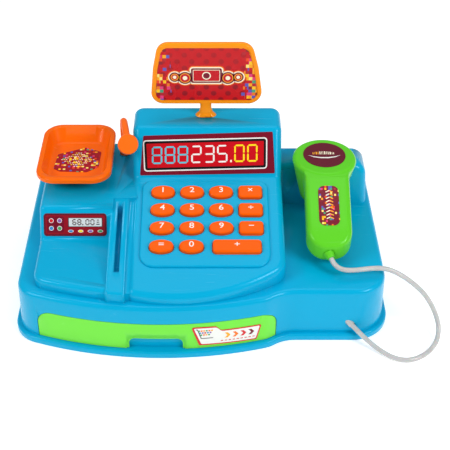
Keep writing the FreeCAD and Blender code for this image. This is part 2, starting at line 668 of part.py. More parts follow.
def lower_housing():
    """Return the bottom plate with the ledge round the foot, posts, rails and the battery bay."""
    ring = Part.Face(foot_outline(0.0, 0.0)).extrude(Vector(0, 0, FOOT_HEIGHT))
    ring = round_edges(ring, 1.8, lambda e: e.BoundBox.ZMin > FOOT_HEIGHT - 0.1)
    ring = round_edges(ring, 0.8, lambda e: e.BoundBox.ZMax < 0.1)
    hollow = Part.Face(foot_outline(FOOT_RING, FLOOR)).extrude(Vector(0, 0, FOOT_HEIGHT))
    plate = ring.cut(hollow)
    added = [drum(x, y, FLOOR - 1.0, POST_FOOT, POST_RADIUS + 1.0) for x, y in POSTS]
    added += [box(x, x + 2.0, TRAY_FRONT + 14.0, TRAY_BACK, FLOOR - 1.0, TRAY_BOTTOM - 0.3)
              for x in (TRAY_LEFT + 6.0, (TRAY_LEFT + TRAY_RIGHT) / 2.0 - 1.0, TRAY_RIGHT - 8.0)]
    added += [box(x, x + 2.0, TRAY_FRONT + 14.0, TRAY_BACK + 8.0, FLOOR - 1.0, TRAY_BOTTOM + 8.0)
              for x in (TRAY_LEFT - 2.6, TRAY_RIGHT + 0.6)]
    added.append(box(
        BAY_LEFT - 1.8, BAY_RIGHT + 1.8, BAY_FRONT - 1.8, BAY_BACK + 1.8, FLOOR - 1.0, BAY_TOP + 1.8))
    added.append(drawer_sill())
    added.append(drum(SPEAKER_X, SPEAKER_Y, FLOOR - 1.0, FLOOR + 3.0, SPEAKER_RADIUS + 1.9))
    plate = plate.fuse(added)
    holes = [box(BAY_LEFT, BAY_RIGHT, BAY_FRONT, BAY_BACK, -1.0, BAY_TOP)]
    holes.append(rounded_box(*door_box(0.25), -1.0, FLOOR - 1.0, 2.0))
    holes.append(drum(SPEAKER_X, SPEAKER_Y, FLOOR, FLOOR + 6.0, SPEAKER_RADIUS + 0.3))
    for ring_count, ring_radius in ((1, 0.0), (6, 6.0), (12, 12.0)):
        for k in range(ring_count):
            x, y = polar((SPEAKER_X, SPEAKER_Y), ring_radius, 360.0 * k / ring_count)
            holes.append(drum(x, y, -1.0, FLOOR + 1.0, 1.5))
    for x, y in POSTS:
        holes.append(drum(x, y, -1.0, POST_FOOT + 1.0, SCREW_SHANK + 0.05))
        holes.append(drum(x, y, -1.0, SCREW_SEAT, SCREW_HEAD + 0.4))
    holes.append(drum(DOOR_SCREW_X, DOOR_SCREW_Y, -1.0, DOOR_CUP_TOP + 6.0, SCREW_SHANK - 0.05))
    holes.append(drum(DOOR_SCREW_X, DOOR_SCREW_Y, -1.0, DOOR_CUP_TOP, DOOR_CUP_RADIUS + 0.25))
    boss = drum(DOOR_SCREW_X, DOOR_SCREW_Y, FLOOR - 1.0, DOOR_CUP_TOP + 7.0, DOOR_CUP_RADIUS + 1.8)
    return plate.fuse(boss).cut(holes)


def door_box(gap):
    """Return the plan of the battery door, grown by a gap, as x0, x1, y0, y1."""
    return (BAY_LEFT - DOOR_MARGIN - gap, BAY_RIGHT + DOOR_MARGIN + 10.0 + gap,
            BAY_FRONT - DOOR_MARGIN - gap, BAY_BACK + DOOR_MARGIN + gap)


def battery_door():
    """Return the door under the batteries, with its screw hole."""
    door = rounded_box(*door_box(0.0), 0.0, FLOOR - 1.0, 1.75)
    rib = box(BAY_LEFT + 1.0, BAY_RIGHT - 1.0, BAY_FRONT + 0.5, BAY_FRONT + 2.0, FLOOR - 1.0, FLOOR)
    cup = drum(DOOR_SCREW_X, DOOR_SCREW_Y, 0.0, DOOR_CUP_TOP, DOOR_CUP_RADIUS)
    holes = [drum(DOOR_SCREW_X, DOOR_SCREW_Y, -1.0, DOOR_CUP_TOP + 1.0, SCREW_SHANK + 0.1),
             drum(DOOR_SCREW_X, DOOR_SCREW_Y, -1.0, DOOR_CUP_TOP - 1.2, SCREW_HEAD + 0.3)]
    return door.fuse([rib, cup]).cut(holes)


def screw(x, y, head_z, length, radius=SCREW_SHANK, head=SCREW_HEAD):
    """Return a pan-head screw that points up, its head resting below head_z."""
    body = drum(x, y, head_z, head_z + length, radius)
    cap = drum(x, y, head_z - 1.6, head_z, head)
    cross = box(x - 1.8, x + 1.8, y - 0.35, y + 0.35, head_z - 1.7, head_z - 0.8)
    other = box(x - 0.35, x + 0.35, y - 1.8, y + 1.8, head_z - 1.7, head_z - 0.8)
    return body.fuse(cap).cut([cross, other])


def coil(x, y, z0, z1, radius, wire, pitch):
    """Return a helical spring between two heights."""
    helix = Part.makeHelix(pitch, z1 - z0 - 2.0 * wire, radius)
    start = Vector(radius, 0, 0)
    section = Part.Wire(Part.makeCircle(wire, start, Vector(0, 1, 0)))
    spring = Part.Wire(helix).makePipeShell([section], True, True)
    spring.translate(Vector(x, y, z0 + wire))
    return spring


def cash_drawer():
    """Return the drawer: a front flush with the wall, a tray with compartments and a finger notch."""
    front = deck_block(0.0).cut(deck_block(DRAWER_FRONT_WALL)).common(drawer_mouth(0.0))
    tray = box(TRAY_LEFT, TRAY_RIGHT, -FAR, TRAY_BACK, TRAY_BOTTOM, TRAY_TOP).common(deck_block(1.0))
    wall = TRAY_WALL
    space = box(TRAY_LEFT + wall, TRAY_RIGHT - wall, -FAR, TRAY_BACK - wall, TRAY_BOTTOM + wall, HIGH)
    drawer = front.fuse(tray).cut(space.common(deck_block(DRAWER_FRONT_WALL)))
    low, high = TRAY_BOTTOM + 1.0, TRAY_TOP - 2.0
    rails = [box(TRAY_LEFT + wall, TRAY_RIGHT - wall, y, y + 1.4, low, high) for y in DIVIDER_Y]
    rails += [box(x, x + 1.4, DIVIDER_Y[0], TRAY_BACK - wall, low, high) for x in DIVIDER_X]
    drawer = drawer.fuse([rail.common(deck_block(1.0)) for rail in rails])
    step = notch_prism(NOTCH_STEP).cut(deck_block(NOTCH_STEP_DEPTH))
    return drawer.cut([notch_prism(0.0), step]).removeSplitter()


def notch_prism(grow):
    """Return the finger notch's outline as a prism along Y, grown sideways and upwards."""
    x0, x1, top = NOTCH_LEFT - grow, NOTCH_RIGHT + grow, NOTCH_TOP + grow
    corner = 5.0 + grow
    outline = [(x0, 0.0, 0.0), (x1, 0.0, 0.0), (x1, top, corner), (x0, top, corner)]
    return front_profile(outline, -110.0, -60.0)


def drawer_label():
    """Return the sticker on the drawer's front."""
    skin = deck_block(-LABEL_THICKNESS).cut(deck_block(0.0))
    return skin.common(front_profile([(x, z, 1.5) for x, z in DRAWER_LABEL], -110.0, -66.0))


def flat_label(corners, place):
    """Return a thin sticker from rounded corners in its own plane, moved to its place."""
    return place(Part.Face(rounded_loop(corners)).extrude(Vector(0, 0, LABEL_THICKNESS)))


def on_display(shape):
    """Move a shape from the display face's own plane to its place."""
    placed = shape.copy()
    placed.rotate(Vector(0, 0, 0), Vector(1, 0, 0), 90.0 - DISPLAY_LEAN)
    placed.translate(Vector(0, DISPLAY_FOOT, panel_z(DISPLAY_FOOT)))
    return placed


def on_slant(shape):
    """Move a shape from the slanted scale face's own plane to its place."""
    placed = shape.copy()
    slope = math.degrees(math.atan2(BLOCK_TOP - PLATFORM_HEIGHT, SLANT_TOP - PLATFORM_BACK))
    placed.rotate(Vector(0, 0, 0), Vector(1, 0, 0), slope)
    placed.translate(Vector(0, PLATFORM_BACK, PLATFORM_HEIGHT))
    return placed


def on_grip(shape):
    """Move a shape from the grip's sloped top to its place."""
    placed = shape.copy()
    placed.rotate(Vector(0, 0, 0), Vector(1, 0, 0), math.degrees(math.atan(GRIP_RISE)))
    placed.translate(Vector(SCANNER_X, 0, grip_top(0.0)))
    return placed


def display_label():
    """Return the sticker on the display face."""
    return flat_label([(x, v, 1.0) for x, v in DISPLAY_LABEL], on_display)


def scale_label():
    """Return the sticker on the slanted scale face."""
    x0, x1, v0, v1 = SCALE_LABEL
    return flat_label([(x0, v0, 2.5), (x1, v0, 2.5), (x1, v1, 2.5), (x0, v1, 2.5)], on_slant)


def rounded_rectangle(x, y, z, width, depth, radius):
    """Return a rounded rectangle wire about a middle point, at height z."""
    a, b = width / 2.0, depth / 2.0
    loop = rounded_loop([(-a, -b, radius), (a, -b, radius), (a, b, radius), (-a, b, radius)])
    loop.translate(Vector(x, y, z))
    return loop


def pan_bowl(t, top):
    """Return the pan's tapered bowl as a solid, drawn in by t."""
    floor = rounded_rectangle(
        PAN_X, PAN_Y, PAN_UNDERSIDE + t, PAN_FLOOR_WIDTH - 2 * t, PAN_FLOOR_DEPTH - 2 * t, 10.0)
    rim = rounded_rectangle(PAN_X, PAN_Y, top, PAN_RIM_WIDTH - 2 * t, PAN_RIM_DEPTH - 2 * t, 14.0)
    bowl = Part.makeLoft([floor, rim], True, True)
    rounding = PAN_FLOOR_ROUNDING - t / 2.0
    return round_edges(bowl, rounding, lambda e: e.BoundBox.ZMax < PAN_UNDERSIDE + t + 0.1)


def scale_pan():
    """Return the scale pan with its rolled lip and hollow stem."""
    lip_low = PAN_RIM_HEIGHT - PAN_LIP_HEIGHT
    size = (PAN_RIM_WIDTH + 2 * PAN_LIP, PAN_RIM_DEPTH + 2 * PAN_LIP)
    outline = rounded_rectangle(PAN_X, PAN_Y, lip_low, *size, 16.0)
    lip = Part.Face(outline).extrude(Vector(0, 0, PAN_LIP_HEIGHT))
    lip = round_edges(lip, 1.6, lambda e: e.BoundBox.ZMin > PAN_RIM_HEIGHT - 0.1)
    inner_outline = rounded_rectangle(PAN_X, PAN_Y, lip_low - 1.0, size[0] - 2.8, size[1] - 2.8, 14.6)
    under = Part.Face(inner_outline).extrude(Vector(0, 0, PAN_LIP_HEIGHT - 0.8))
    pan = lip.cut(under).fuse(pan_bowl(0.0, PAN_RIM_HEIGHT - 0.6))
    pan = pan.fuse(drum(PAN_X, PAN_Y, PAN_STEM_END, PAN_UNDERSIDE + 1.0, PAN_STEM_RADIUS))
    pan = pan.cut([pan_bowl(PAN_WALL, PAN_RIM_HEIGHT + 0.5),
                   drum(PAN_X, PAN_Y, PAN_STEM_END - 1.0, PAN_UNDERSIDE - 1.0, PAN_STEM_RADIUS - 1.8)])
    return pan.removeSplitter()


def scale_pan_label():
    """Return the sticker in the bottom of the pan."""
    floor = PAN_UNDERSIDE + PAN_WALL

    def place(shape):
        shape.translate(Vector(PAN_X, PAN_Y, floor))
        return shape
    return flat_label([(x, y, 2.0) for x, y in PAN_LABEL], place)


def scale_spring():
    """Return the spring that lifts the pan."""
    return coil(PAN_X, PAN_Y, PAN_CUP_FLOOR, PAN_STEM_END, 5.0, 0.45, 2.3)


def sign_plate(grow, y0, y1):
    """Return the sign's outline, grown on every side, as a plate between two depths."""
    face = Part.Face(rounded_loop(SIGN_OUTLINE))
    if grow:
        face = face.makeOffset2D(grow)
    plate = face.extrude(Vector(0, 0, y1 - y0))
    plate.rotate(Vector(0, 0, 0), Vector(1, 0, 0), 90.0)
    plate.translate(Vector(0, y1, 0))
    return plate


def sign_board():
    """Return the sign's frame with its post and collar."""
    front, back = SIGN_Y - SIGN_THICKNESS / 2.0, SIGN_Y + SIGN_THICKNESS / 2.0
    board = sign_plate(0.0, front, back)
    board = round_edges(board, 1.6, lambda e: e.BoundBox.YLength < 1e-3)
    recess = sign_plate(-SIGN_BORDER, front - 1.0, front + SIGN_RECESS)
    post = drum(SIGN_X, SIGN_Y, SIGN_PLUG_END, DISPLAY_TOP + 2.0, SIGN_POST_RADIUS)
    low = DISPLAY_TOP + 0.15
    foot = oval(SIGN_COLLAR_WIDTH, SIGN_COLLAR_DEPTH, 4.4)
    foot.translate(Vector(SIGN_X, SIGN_Y, low))
    middle = oval(SIGN_NECK_WIDTH + 2.2, 6.4, 3.0)
    middle.translate(Vector(SIGN_X, SIGN_Y, low + SIGN_COLLAR_HEIGHT * 0.4))
    neck = oval(SIGN_NECK_WIDTH, SIGN_THICKNESS, 2.3)
    neck.translate(Vector(SIGN_X, SIGN_Y, low + SIGN_COLLAR_HEIGHT))
    collar = Part.makeLoft([foot, middle, neck], True, True)
    stem = Part.Face(neck).extrude(Vector(0, 0, SIGN_BOTTOM + 2.0 - low - SIGN_COLLAR_HEIGHT))
    return board.cut(recess).fuse([post, collar, stem]).removeSplitter()


def sign_label():
    """Return the sticker on the sign's front."""
    front = SIGN_Y - SIGN_THICKNESS / 2.0 + SIGN_RECESS
    return sign_plate(-SIGN_BORDER - 0.2, front - LABEL_THICKNESS, front)


def microphone_stalk():
    """Return the bent stalk with its plug, its collar and the cup for the grille."""
    foot, head = Vector(*MIC_FOOT, 0), Vector(*MIC_HEAD, 0)
    reach = head - foot
    level = reach.Length
    ahead = Vector(reach).normalize()

    def at(forward, height):
        return foot + ahead * forward + Vector(0, 0, height)
    bend, shy = 8.0, 1.0 - math.sqrt(0.5)
    end, end_height = level - 2.2, MIC_HEAD_HEIGHT - 1.6
    halfway = (bend + end) / 2.0
    path = Part.Wire([
        Part.LineSegment(at(0, BLOCK_TOP), at(0, MIC_TOP - bend)).toShape(),
        Part.Arc(at(0, MIC_TOP - bend), at(bend * shy, MIC_TOP - bend * shy), at(bend, MIC_TOP)).toShape(),
        Part.Arc(at(bend, MIC_TOP), at(halfway, MIC_TOP - 0.8), at(end, end_height)).toShape(),
    ])
    section = Part.Wire(Part.makeCircle(MIC_ROD_RADIUS, at(0, BLOCK_TOP), Vector(0, 0, 1)))
    rod = path.makePipeShell([section], True, False)
    plug = drum(*MIC_FOOT, MIC_PLUG_END, BLOCK_TOP + 1.0, MIC_SOCKET_RADIUS - 0.05)
    collar = drum(*MIC_FOOT, BLOCK_TOP + 0.2, BLOCK_TOP + 3.4, 4.6)
    collar = round_edges(collar, 1.2, lambda e: e.BoundBox.ZMin > BLOCK_TOP + 3.3)
    return rod.fuse([plug, collar, mic_disc(0.0, MIC_HEAD_DEPTH - 2.0, MIC_HEAD_RADIUS)]).removeSplitter()


def mic_disc(low, high, radius):
    """Return a disc on the microphone's own axis, between two depths behind its face."""
    foot, head = Vector(*MIC_FOOT, 0), Vector(*MIC_HEAD, 0)
    ahead = (head - foot).normalize()
    tilt = math.radians(MIC_TILT)
    facing = ahead * math.cos(tilt) + Vector(0, 0, math.sin(tilt))
    centre = head + Vector(0, 0, MIC_HEAD_HEIGHT)
    return Part.makeCylinder(radius, high - low, centre + facing * (low - MIC_HEAD_DEPTH / 2.0), facing)


def microphone_grille():
    """Return the slotted cover on the microphone's head."""
    cover = mic_disc(MIC_HEAD_DEPTH - 2.0, MIC_HEAD_DEPTH, MIC_HEAD_RADIUS)
    far_face = max(cover.Edges, key=lambda e: e.CenterOfMass.z)
    cover = cover.makeFillet(0.9, [far_face])
    axis = mic_disc(0.0, 1.0, 1.0).Faces[0].Surface.Axis
    middle = mic_disc(MIC_HEAD_DEPTH - 1.2, MIC_HEAD_DEPTH + 1.0, 1.0).CenterOfMass
    across = axis.cross(Vector(0, 0, 1)).normalize()
    up = across.cross(axis).normalize()
    for step in (-3.4, 0.0, 3.4):
        half = 4.6 if step else 6.0
        corner = middle + up * (step - 0.6) - across * half - axis * 1.1
        slot = Part.makeBox(2 * half, 1.2, 2.2)
        slot.Placement = FreeCAD.Placement(corner, FreeCAD.Rotation(across, up, across.cross(up)))
        cover = cover.cut(slot)
    return cover


def grip_top(y):
    """Return the height of the grip's sloped top at y."""
    return HEAD_TOP + GRIP_RISE * (y - GRIP_CREASE)


def scanner_body(t):
    """Return the scanner's outer form, drawn in by t."""
    head = head_cone(-t, HEAD_TOP - t)
    head = round_edges(head, 3.4 - t, lambda e: e.BoundBox.ZMin > HEAD_TOP - t - 0.1)
    steep = t * math.sqrt(1.0 + GRIP_RISE**2)
    half = GRIP_WIDTH / 2.0 - t
    near, far = GRIP_NEAR + t, SCANNER_Y - 8.0
    plan = rounded_loop([
        (SCANNER_X - half, near, 15.0 - t), (SCANNER_X + half, near, 15.0 - t),
        (SCANNER_X + half, far, 0.0), (SCANNER_X - half, far, 0.0)])
    grip = Part.Face(plan).extrude(Vector(0, 0, HIGH))
    level = HEAD_TOP - 1.5 - t
    bend = GRIP_CREASE + (level + steep - HEAD_TOP) / GRIP_RISE
    low_near = grip_top(-FAR) - GRIP_THICKNESS + steep
    side = [
        (-FAR, low_near), (-FAR, grip_top(-FAR) - steep), (bend, level), (FAR, level),
        (FAR, HEAD_BOTTOM + 14.0), (GRIP_CREASE + 4.0, grip_top(GRIP_CREASE + 4.0) - GRIP_THICKNESS + steep)]
    grip = grip.common(side_profile(side, 0.0, FAR))
    grip = round_edges(grip, 5.0 - t, lambda e: not is_upright(e) and e.BoundBox.YMin < GRIP_CREASE - 8.0)
    return head.fuse(grip).removeSplitter()


def scanner_upper_region():
    """Return the space above the scanner's parting line."""
    side = [
        (-FAR, grip_top(-FAR) - GRIP_THICKNESS / 2.0), (6.0, grip_top(6.0) - GRIP_THICKNESS / 2.0),
        (18.0, 88.0), (FAR, 88.0), (FAR, HIGH), (-FAR, HIGH)]
    return side_profile(side, 0.0, FAR)


def scanner_shell():
    """Return the scanner's hollow casing, both shells in one, with its screw posts."""
    outer = scanner_body(0.0)
    posts = [drum(SCANNER_X, y, 0.0, HIGH, 3.2) for y in SCANNER_SCREWS_Y]
    shell = outer.cut(scanner_body(SHELL_WALL).cut(posts))
    holes = [drum(SCANNER_X, y, 0.0, grip_top(y) - 3.6, 1.25) for y in SCANNER_SCREWS_Y]
    holes += [drum(SCANNER_X, y, 0.0, scanner_screw_seat(y), 2.7) for y in SCANNER_SCREWS_Y]
    return shell.cut(holes)


def scanner_screw_seat(y):
    """Return the height on which a scanner screw's head rests."""
    return grip_top(y) - GRIP_THICKNESS + 4.2


def scanner_upper_shell():
    """Return the upper half of the scanner."""
    return scanner_shell().common(scanner_upper_region()).cut(cord_nub())


def cord_nub():
    """Return the tapered nub through which the cord enters the grip."""
    start, following = Vector(*CORD_ROUTE[0]), Vector(*CORD_ROUTE[1])
    outwards = (following - start).normalize()
    nub = Part.makeCone(NUB_RADIUS, NUB_TIP_RADIUS, NUB_LENGTH, start - outwards * NUB_LENGTH, outwards)
    return nub.cut(scanner_body(SHELL_WALL))


def scanner_lower_shell():
    """Return the lower half of the scanner, with the cord's nub, lens and trigger openings."""
    shell = scanner_shell().cut(scanner_upper_region())
    shell = shell.fuse(cord_nub())
    shell = shell.cut(drum(
        SCANNER_X, SCANNER_Y, HEAD_BOTTOM - 1.0, HEAD_BOTTOM + SHELL_WALL + 1.0, LENS_RADIUS + 0.1))
    return shell.cut(trigger_prism(0.3)).removeSplitter()


def trigger_prism(grow):
    """Return the trigger's plan as an upright prism, grown on every side."""
    half = TRIGGER_HALF_WIDTH + grow
    return rounded_box(
        SCANNER_X - half, SCANNER_X + half, TRIGGER_NEAR - grow, TRIGGER_FAR + grow, 40.0, 80.0, 2.5 + grow)


def grip_slice(low, high):
    """Return the space between two heights above the grip's sloped underside."""
    def under(y):
        return grip_top(y) - GRIP_THICKNESS
    return side_profile([
        (-FAR, under(-FAR) + low), (-FAR, under(-FAR) + high),
        (FAR, under(FAR) + high), (FAR, under(FAR) + low)], 0.0, FAR)


def scanner_trigger():
    """Return the trigger button with the flange that keeps it in the grip."""
    inner = SHELL_WALL * math.sqrt(1.0 + GRIP_RISE**2)
    button = trigger_prism(0.0).common(grip_slice(-TRIGGER_PROUD, inner + 1.2))
    flange = trigger_prism(1.5).common(grip_slice(inner + 0.1, inner + 1.2))
    return button.fuse(flange).removeSplitter()


def scanner_trigger_switch():
    """Return the small switch above the trigger."""
    y = (TRIGGER_NEAR + TRIGGER_FAR) / 2.0
    foot = grip_top(y) - GRIP_THICKNESS
    return box(SCANNER_X - 3.0, SCANNER_X + 3.0, y - 3.0, y + 3.0, foot + 9.0, foot + 11.0).fuse(
        drum(SCANNER_X, y, foot + 8.0, foot + 9.0, 1.6))


def scanner_circuit_board():
    """Return the board between the trigger switch and the head."""
    y = (TRIGGER_NEAR + TRIGGER_FAR) / 2.0
    foot = grip_top(y) - GRIP_THICKNESS + 11.0
    board = box(SCANNER_X - 9.0, SCANNER_X + 9.0, y - 4.5, y + 7.5, foot, foot + 1.2)
    return board


def scanner_lamp():
    """Return the scanner's lamp: a small board and a light-emitting diode over the window."""
    board = drum(SCANNER_X, SCANNER_Y, 76.0, 77.4, 15.0)
    post = drum(SCANNER_X, SCANNER_Y, 69.0, 76.0, 2.5)
    dome = Part.makeSphere(2.5, Vector(SCANNER_X, SCANNER_Y, 69.0))
    return board.fuse([post, dome]).removeSplitter()


def scanner_lens():
    """Return the red window in the underside of the head."""
    window = drum(SCANNER_X, SCANNER_Y, HEAD_BOTTOM + 0.4, HEAD_BOTTOM + SHELL_WALL, LENS_RADIUS)
    seat = HEAD_BOTTOM + SHELL_WALL
    rim = drum(SCANNER_X, SCANNER_Y, seat, seat + 1.2, LENS_RADIUS + 1.6)
    return window.fuse(rim).removeSplitter()


def scanner_screws():
    """Return the screws that close the scanner."""
    screws = []
    for y in SCANNER_SCREWS_Y:
        screws.append(screw(SCANNER_X, y, scanner_screw_seat(y), 9.0, 1.2, 2.4))
    return Part.makeCompound(screws)


def scanner_head_label():
    """Return the round sticker on the scanner's head."""
    return drum(SCANNER_X, HEAD_LABEL_Y, HEAD_TOP, HEAD_TOP + LABEL_THICKNESS, HEAD_LABEL_RADIUS)


def scanner_grip_label():
    """Return the long sticker on the scanner's grip."""
    half, v0, v1 = GRIP_LABEL
    return flat_label([(-half, v0, 5.0), (half, v0, 5.0), (half, v1, 5.0), (-half, v1, 5.0)], on_grip)


def keypad_mat():
    """Return the rubber mat under the keys, with a low dome under each plunger."""
    low = BOARD_TOP
    mat = rounded_box(
        BOARD_LEFT, BOARD_RIGHT, BOARD_NEAR, BOARD_FAR, low, low + MAT_THICKNESS, 3.0)
    domes = [drum(x, y, low, low + MAT_THICKNESS + DOME_RISE, 4.0) for _, x, y in key_places()]
    holes = [drum(x, y, low - 1.0, low + 3.0, 2.5) for x in BOARD_POSTS_X for y in BOARD_POSTS_Y]
    return on_panel(mat.fuse(domes).cut(holes))


def keypad_circuit_board():
    """Return the circuit board under the key mat."""
    return on_panel(rounded_box(
        BOARD_LEFT, BOARD_RIGHT, BOARD_NEAR, BOARD_FAR, BOARD_TOP - BOARD_THICKNESS, BOARD_TOP, 2.0))


def speaker():
    """Return the loudspeaker: a basket, a magnet and a rim."""
    low = FLOOR
    rim = drum(SPEAKER_X, SPEAKER_Y, low, low + 1.5, SPEAKER_RADIUS)
    basket = Part.makeCone(SPEAKER_RADIUS - 1.5, 9.0, 5.0, Vector(SPEAKER_X, SPEAKER_Y, low + 1.5))
    magnet = drum(SPEAKER_X, SPEAKER_Y, low + 6.5, low + 11.0, 8.0)
    hollow = Part.makeCone(SPEAKER_RADIUS - 3.0, 4.0, 4.0, Vector(SPEAKER_X, SPEAKER_Y, low - 0.01))
    return rim.fuse([basket, magnet]).cut(hollow).removeSplitter()


def battery_cell(y, turned):
    """Return one cell lying along X, its nub to the right unless it is turned."""
    half = CELL_LENGTH / 2.0
    body = Part.makeCylinder(CELL_RADIUS, CELL_LENGTH, Vector(-half, y, CELL_HEIGHT), Vector(1, 0, 0))
    side = -1 if turned else 1
    end = Vector(side * half, y, CELL_HEIGHT)
    nub = Part.makeCylinder(CELL_NUB_RADIUS, CELL_NUB, end, Vector(side, 0, 0))
    return body.fuse(nub).removeSplitter()


def battery_contact_springs():
    """Return the two bent leaf springs that press on the cells' flat ends."""
    springs = []
    for row, y in enumerate(CELL_ROWS):
        side = 1 if row else -1
        cell, wall = side * CELL_LENGTH / 2.0, side * (BAY_RIGHT - 0.5)
        z = CELL_HEIGHT
        leaf = [
            (wall, z - 4.5, 0.0), (cell, z, 0.0), (wall, z + 4.5, 0.0),
            (wall, z + 3.9, 0.0), (cell + side * 0.9, z, 0.0), (wall, z - 3.9, 0.0)]
        springs.append(front_profile(leaf, y - 3.5, y + 3.5))
    return Part.makeCompound(springs)


def battery_contact_plates():
    """Return the metal plates at both ends of the battery bay."""
    plates = []
    low, high = CELL_HEIGHT - 5.0, CELL_HEIGHT + 5.0
    for side in (-1, 1):
        for row, y in enumerate(CELL_ROWS):
            springy = (side == 1) == bool(row)
            inner = BAY_RIGHT - 0.5 if springy else CELL_LENGTH / 2.0 + CELL_NUB
            left, right = sorted((side * inner, side * (inner + 0.5)))
            plate = box(left, right, y - 5.0, y + 5.0, low, high)
            if not springy:
                left, right = sorted((side * inner, side * BAY_RIGHT))
                plate = plate.fuse(box(left, right, y - 5.0, y + 5.0, high - 0.5, high)).removeSplitter()
            plates.append(plate)
    return Part.makeCompound(plates)


def housing_screws():
    """Return the screws that hold the two housings together."""
    return Part.makeCompound([screw(x, y, SCREW_SEAT, POST_FOOT - SCREW_SEAT + 8.0) for x, y in POSTS])


def scanner_cord():
    """Return the cord from the scanner's nub to the bush: straight runs joined by tangent arcs."""
    points = [Vector(*p) for p in CORD_ROUTE]
    edges, last = [], points[0]
    for before, here, after in zip(points, points[1:], points[2:]):
        back, on = (before - here), (after - here)
        shorter = min(back.Length, on.Length)
        back.normalize()
        on.normalize()
        half_turn = (math.pi - back.getAngle(on)) / 2.0
        radius = 0.45 * shorter / math.tan(half_turn)
        reach = 0.45 * shorter
        start, end = here + back * reach, here + on * reach
        middle_way = (back + on).normalize()
        centre_distance = math.sqrt(radius**2 + reach**2)
        middle = here + middle_way * (centre_distance - radius)
        edges.append(Part.LineSegment(last, start).toShape())
        edges.append(Part.Arc(start, middle, end).toShape())
        last = end
    edges.append(Part.LineSegment(last, points[-1]).toShape())
    path = Part.Wire(edges)
    ahead = (points[1] - points[0]).normalize()
    section = Part.Wire(Part.makeCircle(CORD_RADIUS, points[0], ahead))
    cord = path.makePipeShell([section], True, False)
    print("cord length", round(path.Length, 1))
    return cord


MAKERS = {
    "upper_housing": upper_housing,
    "lower_housing": lower_housing,
    "display_label": display_label,
    "scale_label": scale_label,
    "keypad_mat": keypad_mat,
    "keypad_circuit_board": keypad_circuit_board,
    "speaker": speaker,
    "battery_cell_front": lambda: battery_cell(CELL_ROWS[0], False),
    "battery_cell_rear": lambda: battery_cell(CELL_ROWS[1], True),
    "battery_contact_springs": battery_contact_springs,
    "battery_contact_plates": battery_contact_plates,
    "battery_door": battery_door,
    "battery_door_screw": lambda: screw(DOOR_SCREW_X, DOOR_SCREW_Y, DOOR_CUP_TOP - 1.2, 6.5),
    "housing_screws": housing_screws,
    "cord_stopper": cord_stopper,
    "scanner_cord": scanner_cord,
    "cash_drawer": cash_drawer,
    "drawer_label": drawer_label,
    "scale_pan": scale_pan,
    "scale_pan_label": scale_pan_label,
    "scale_spring": scale_spring,
    "sign_board": sign_board,
    "sign_label": sign_label,
    "microphone_stalk": microphone_stalk,
    "microphone_grille": microphone_grille,
    "scanner_upper_shell": scanner_upper_shell,
    "scanner_lower_shell": scanner_lower_shell,
    "scanner_head_label": scanner_head_label,
    "scanner_grip_label": scanner_grip_label,
    "scanner_lens": scanner_lens,
    "scanner_lamp": scanner_lamp,
    "scanner_circuit_board": scanner_circuit_board,
    "scanner_trigger_switch": scanner_trigger_switch,
    "scanner_screws": scanner_screws,
    "scanner_trigger": scanner_trigger,
}


def main():
    """Build every piece and write it to its own STEP file."""
    os.makedirs("parts", exist_ok=True)
    pieces = {name: maker() for name, maker in MAKERS.items()}
    for name, x, y in key_places():
        pieces["key_" + name] = key_cap(name, x, y)
    for name, shape in pieces.items():
        if not shape.isValid():
            print("not valid:", name)
        print(name, len(shape.Solids), round(shape.Volume))
        shape.exportStep("parts/%s.step" % name)


main()
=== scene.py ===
"""Looks of a toy cash register with a hand scanner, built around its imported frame.

Everything is in metres, in the frame's own axes: X to the right, Y to the back and Z up.
Sizes of small artwork are written in millimetres times MM.
"""

import logging
import math
from collections.abc import Callable, Iterable, Sequence
from dataclasses import dataclass
from enum import Enum

import bmesh
import bpy
from mathutils import Matrix, Vector
from mathutils.bvhtree import BVHTree


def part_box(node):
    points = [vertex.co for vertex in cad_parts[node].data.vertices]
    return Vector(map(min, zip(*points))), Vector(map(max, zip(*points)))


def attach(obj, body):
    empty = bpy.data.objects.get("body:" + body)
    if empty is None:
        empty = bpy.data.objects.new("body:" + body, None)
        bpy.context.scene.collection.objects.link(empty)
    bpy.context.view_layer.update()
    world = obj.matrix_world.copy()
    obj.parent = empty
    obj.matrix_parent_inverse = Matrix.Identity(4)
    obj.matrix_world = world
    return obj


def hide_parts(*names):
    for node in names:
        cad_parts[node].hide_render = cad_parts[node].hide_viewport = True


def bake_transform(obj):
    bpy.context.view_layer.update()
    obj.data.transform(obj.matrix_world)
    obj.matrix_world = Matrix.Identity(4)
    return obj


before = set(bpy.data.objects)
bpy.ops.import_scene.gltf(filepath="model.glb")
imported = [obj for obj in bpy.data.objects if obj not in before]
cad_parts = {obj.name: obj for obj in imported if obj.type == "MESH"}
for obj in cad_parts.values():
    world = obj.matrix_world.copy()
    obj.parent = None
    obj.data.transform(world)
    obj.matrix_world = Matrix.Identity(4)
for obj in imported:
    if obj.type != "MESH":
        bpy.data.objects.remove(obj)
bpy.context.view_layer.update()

MM = 0.001
LOG = logging.getLogger("cash_register")
Socket = bpy.types.NodeSocket
Colour = tuple[float, float, float, float]


def shade(code: str) -> Colour:
    """Turn a six-digit colour code into linear light.

    Args:
        code: The colour as RRGGBB.

    Returns:
        The linear red, green and blue, and an alpha of 1.
    """
    parts = [int(code[i:i + 2], 16) / 255.0 for i in (0, 2, 4)]
    linear = [p / 12.92 if p <= 0.04045 else ((p + 0.055) / 1.055) ** 2.4 for p in parts]
    return linear[0], linear[1], linear[2], 1.0


# ---------------------------------------------------------------- finishes


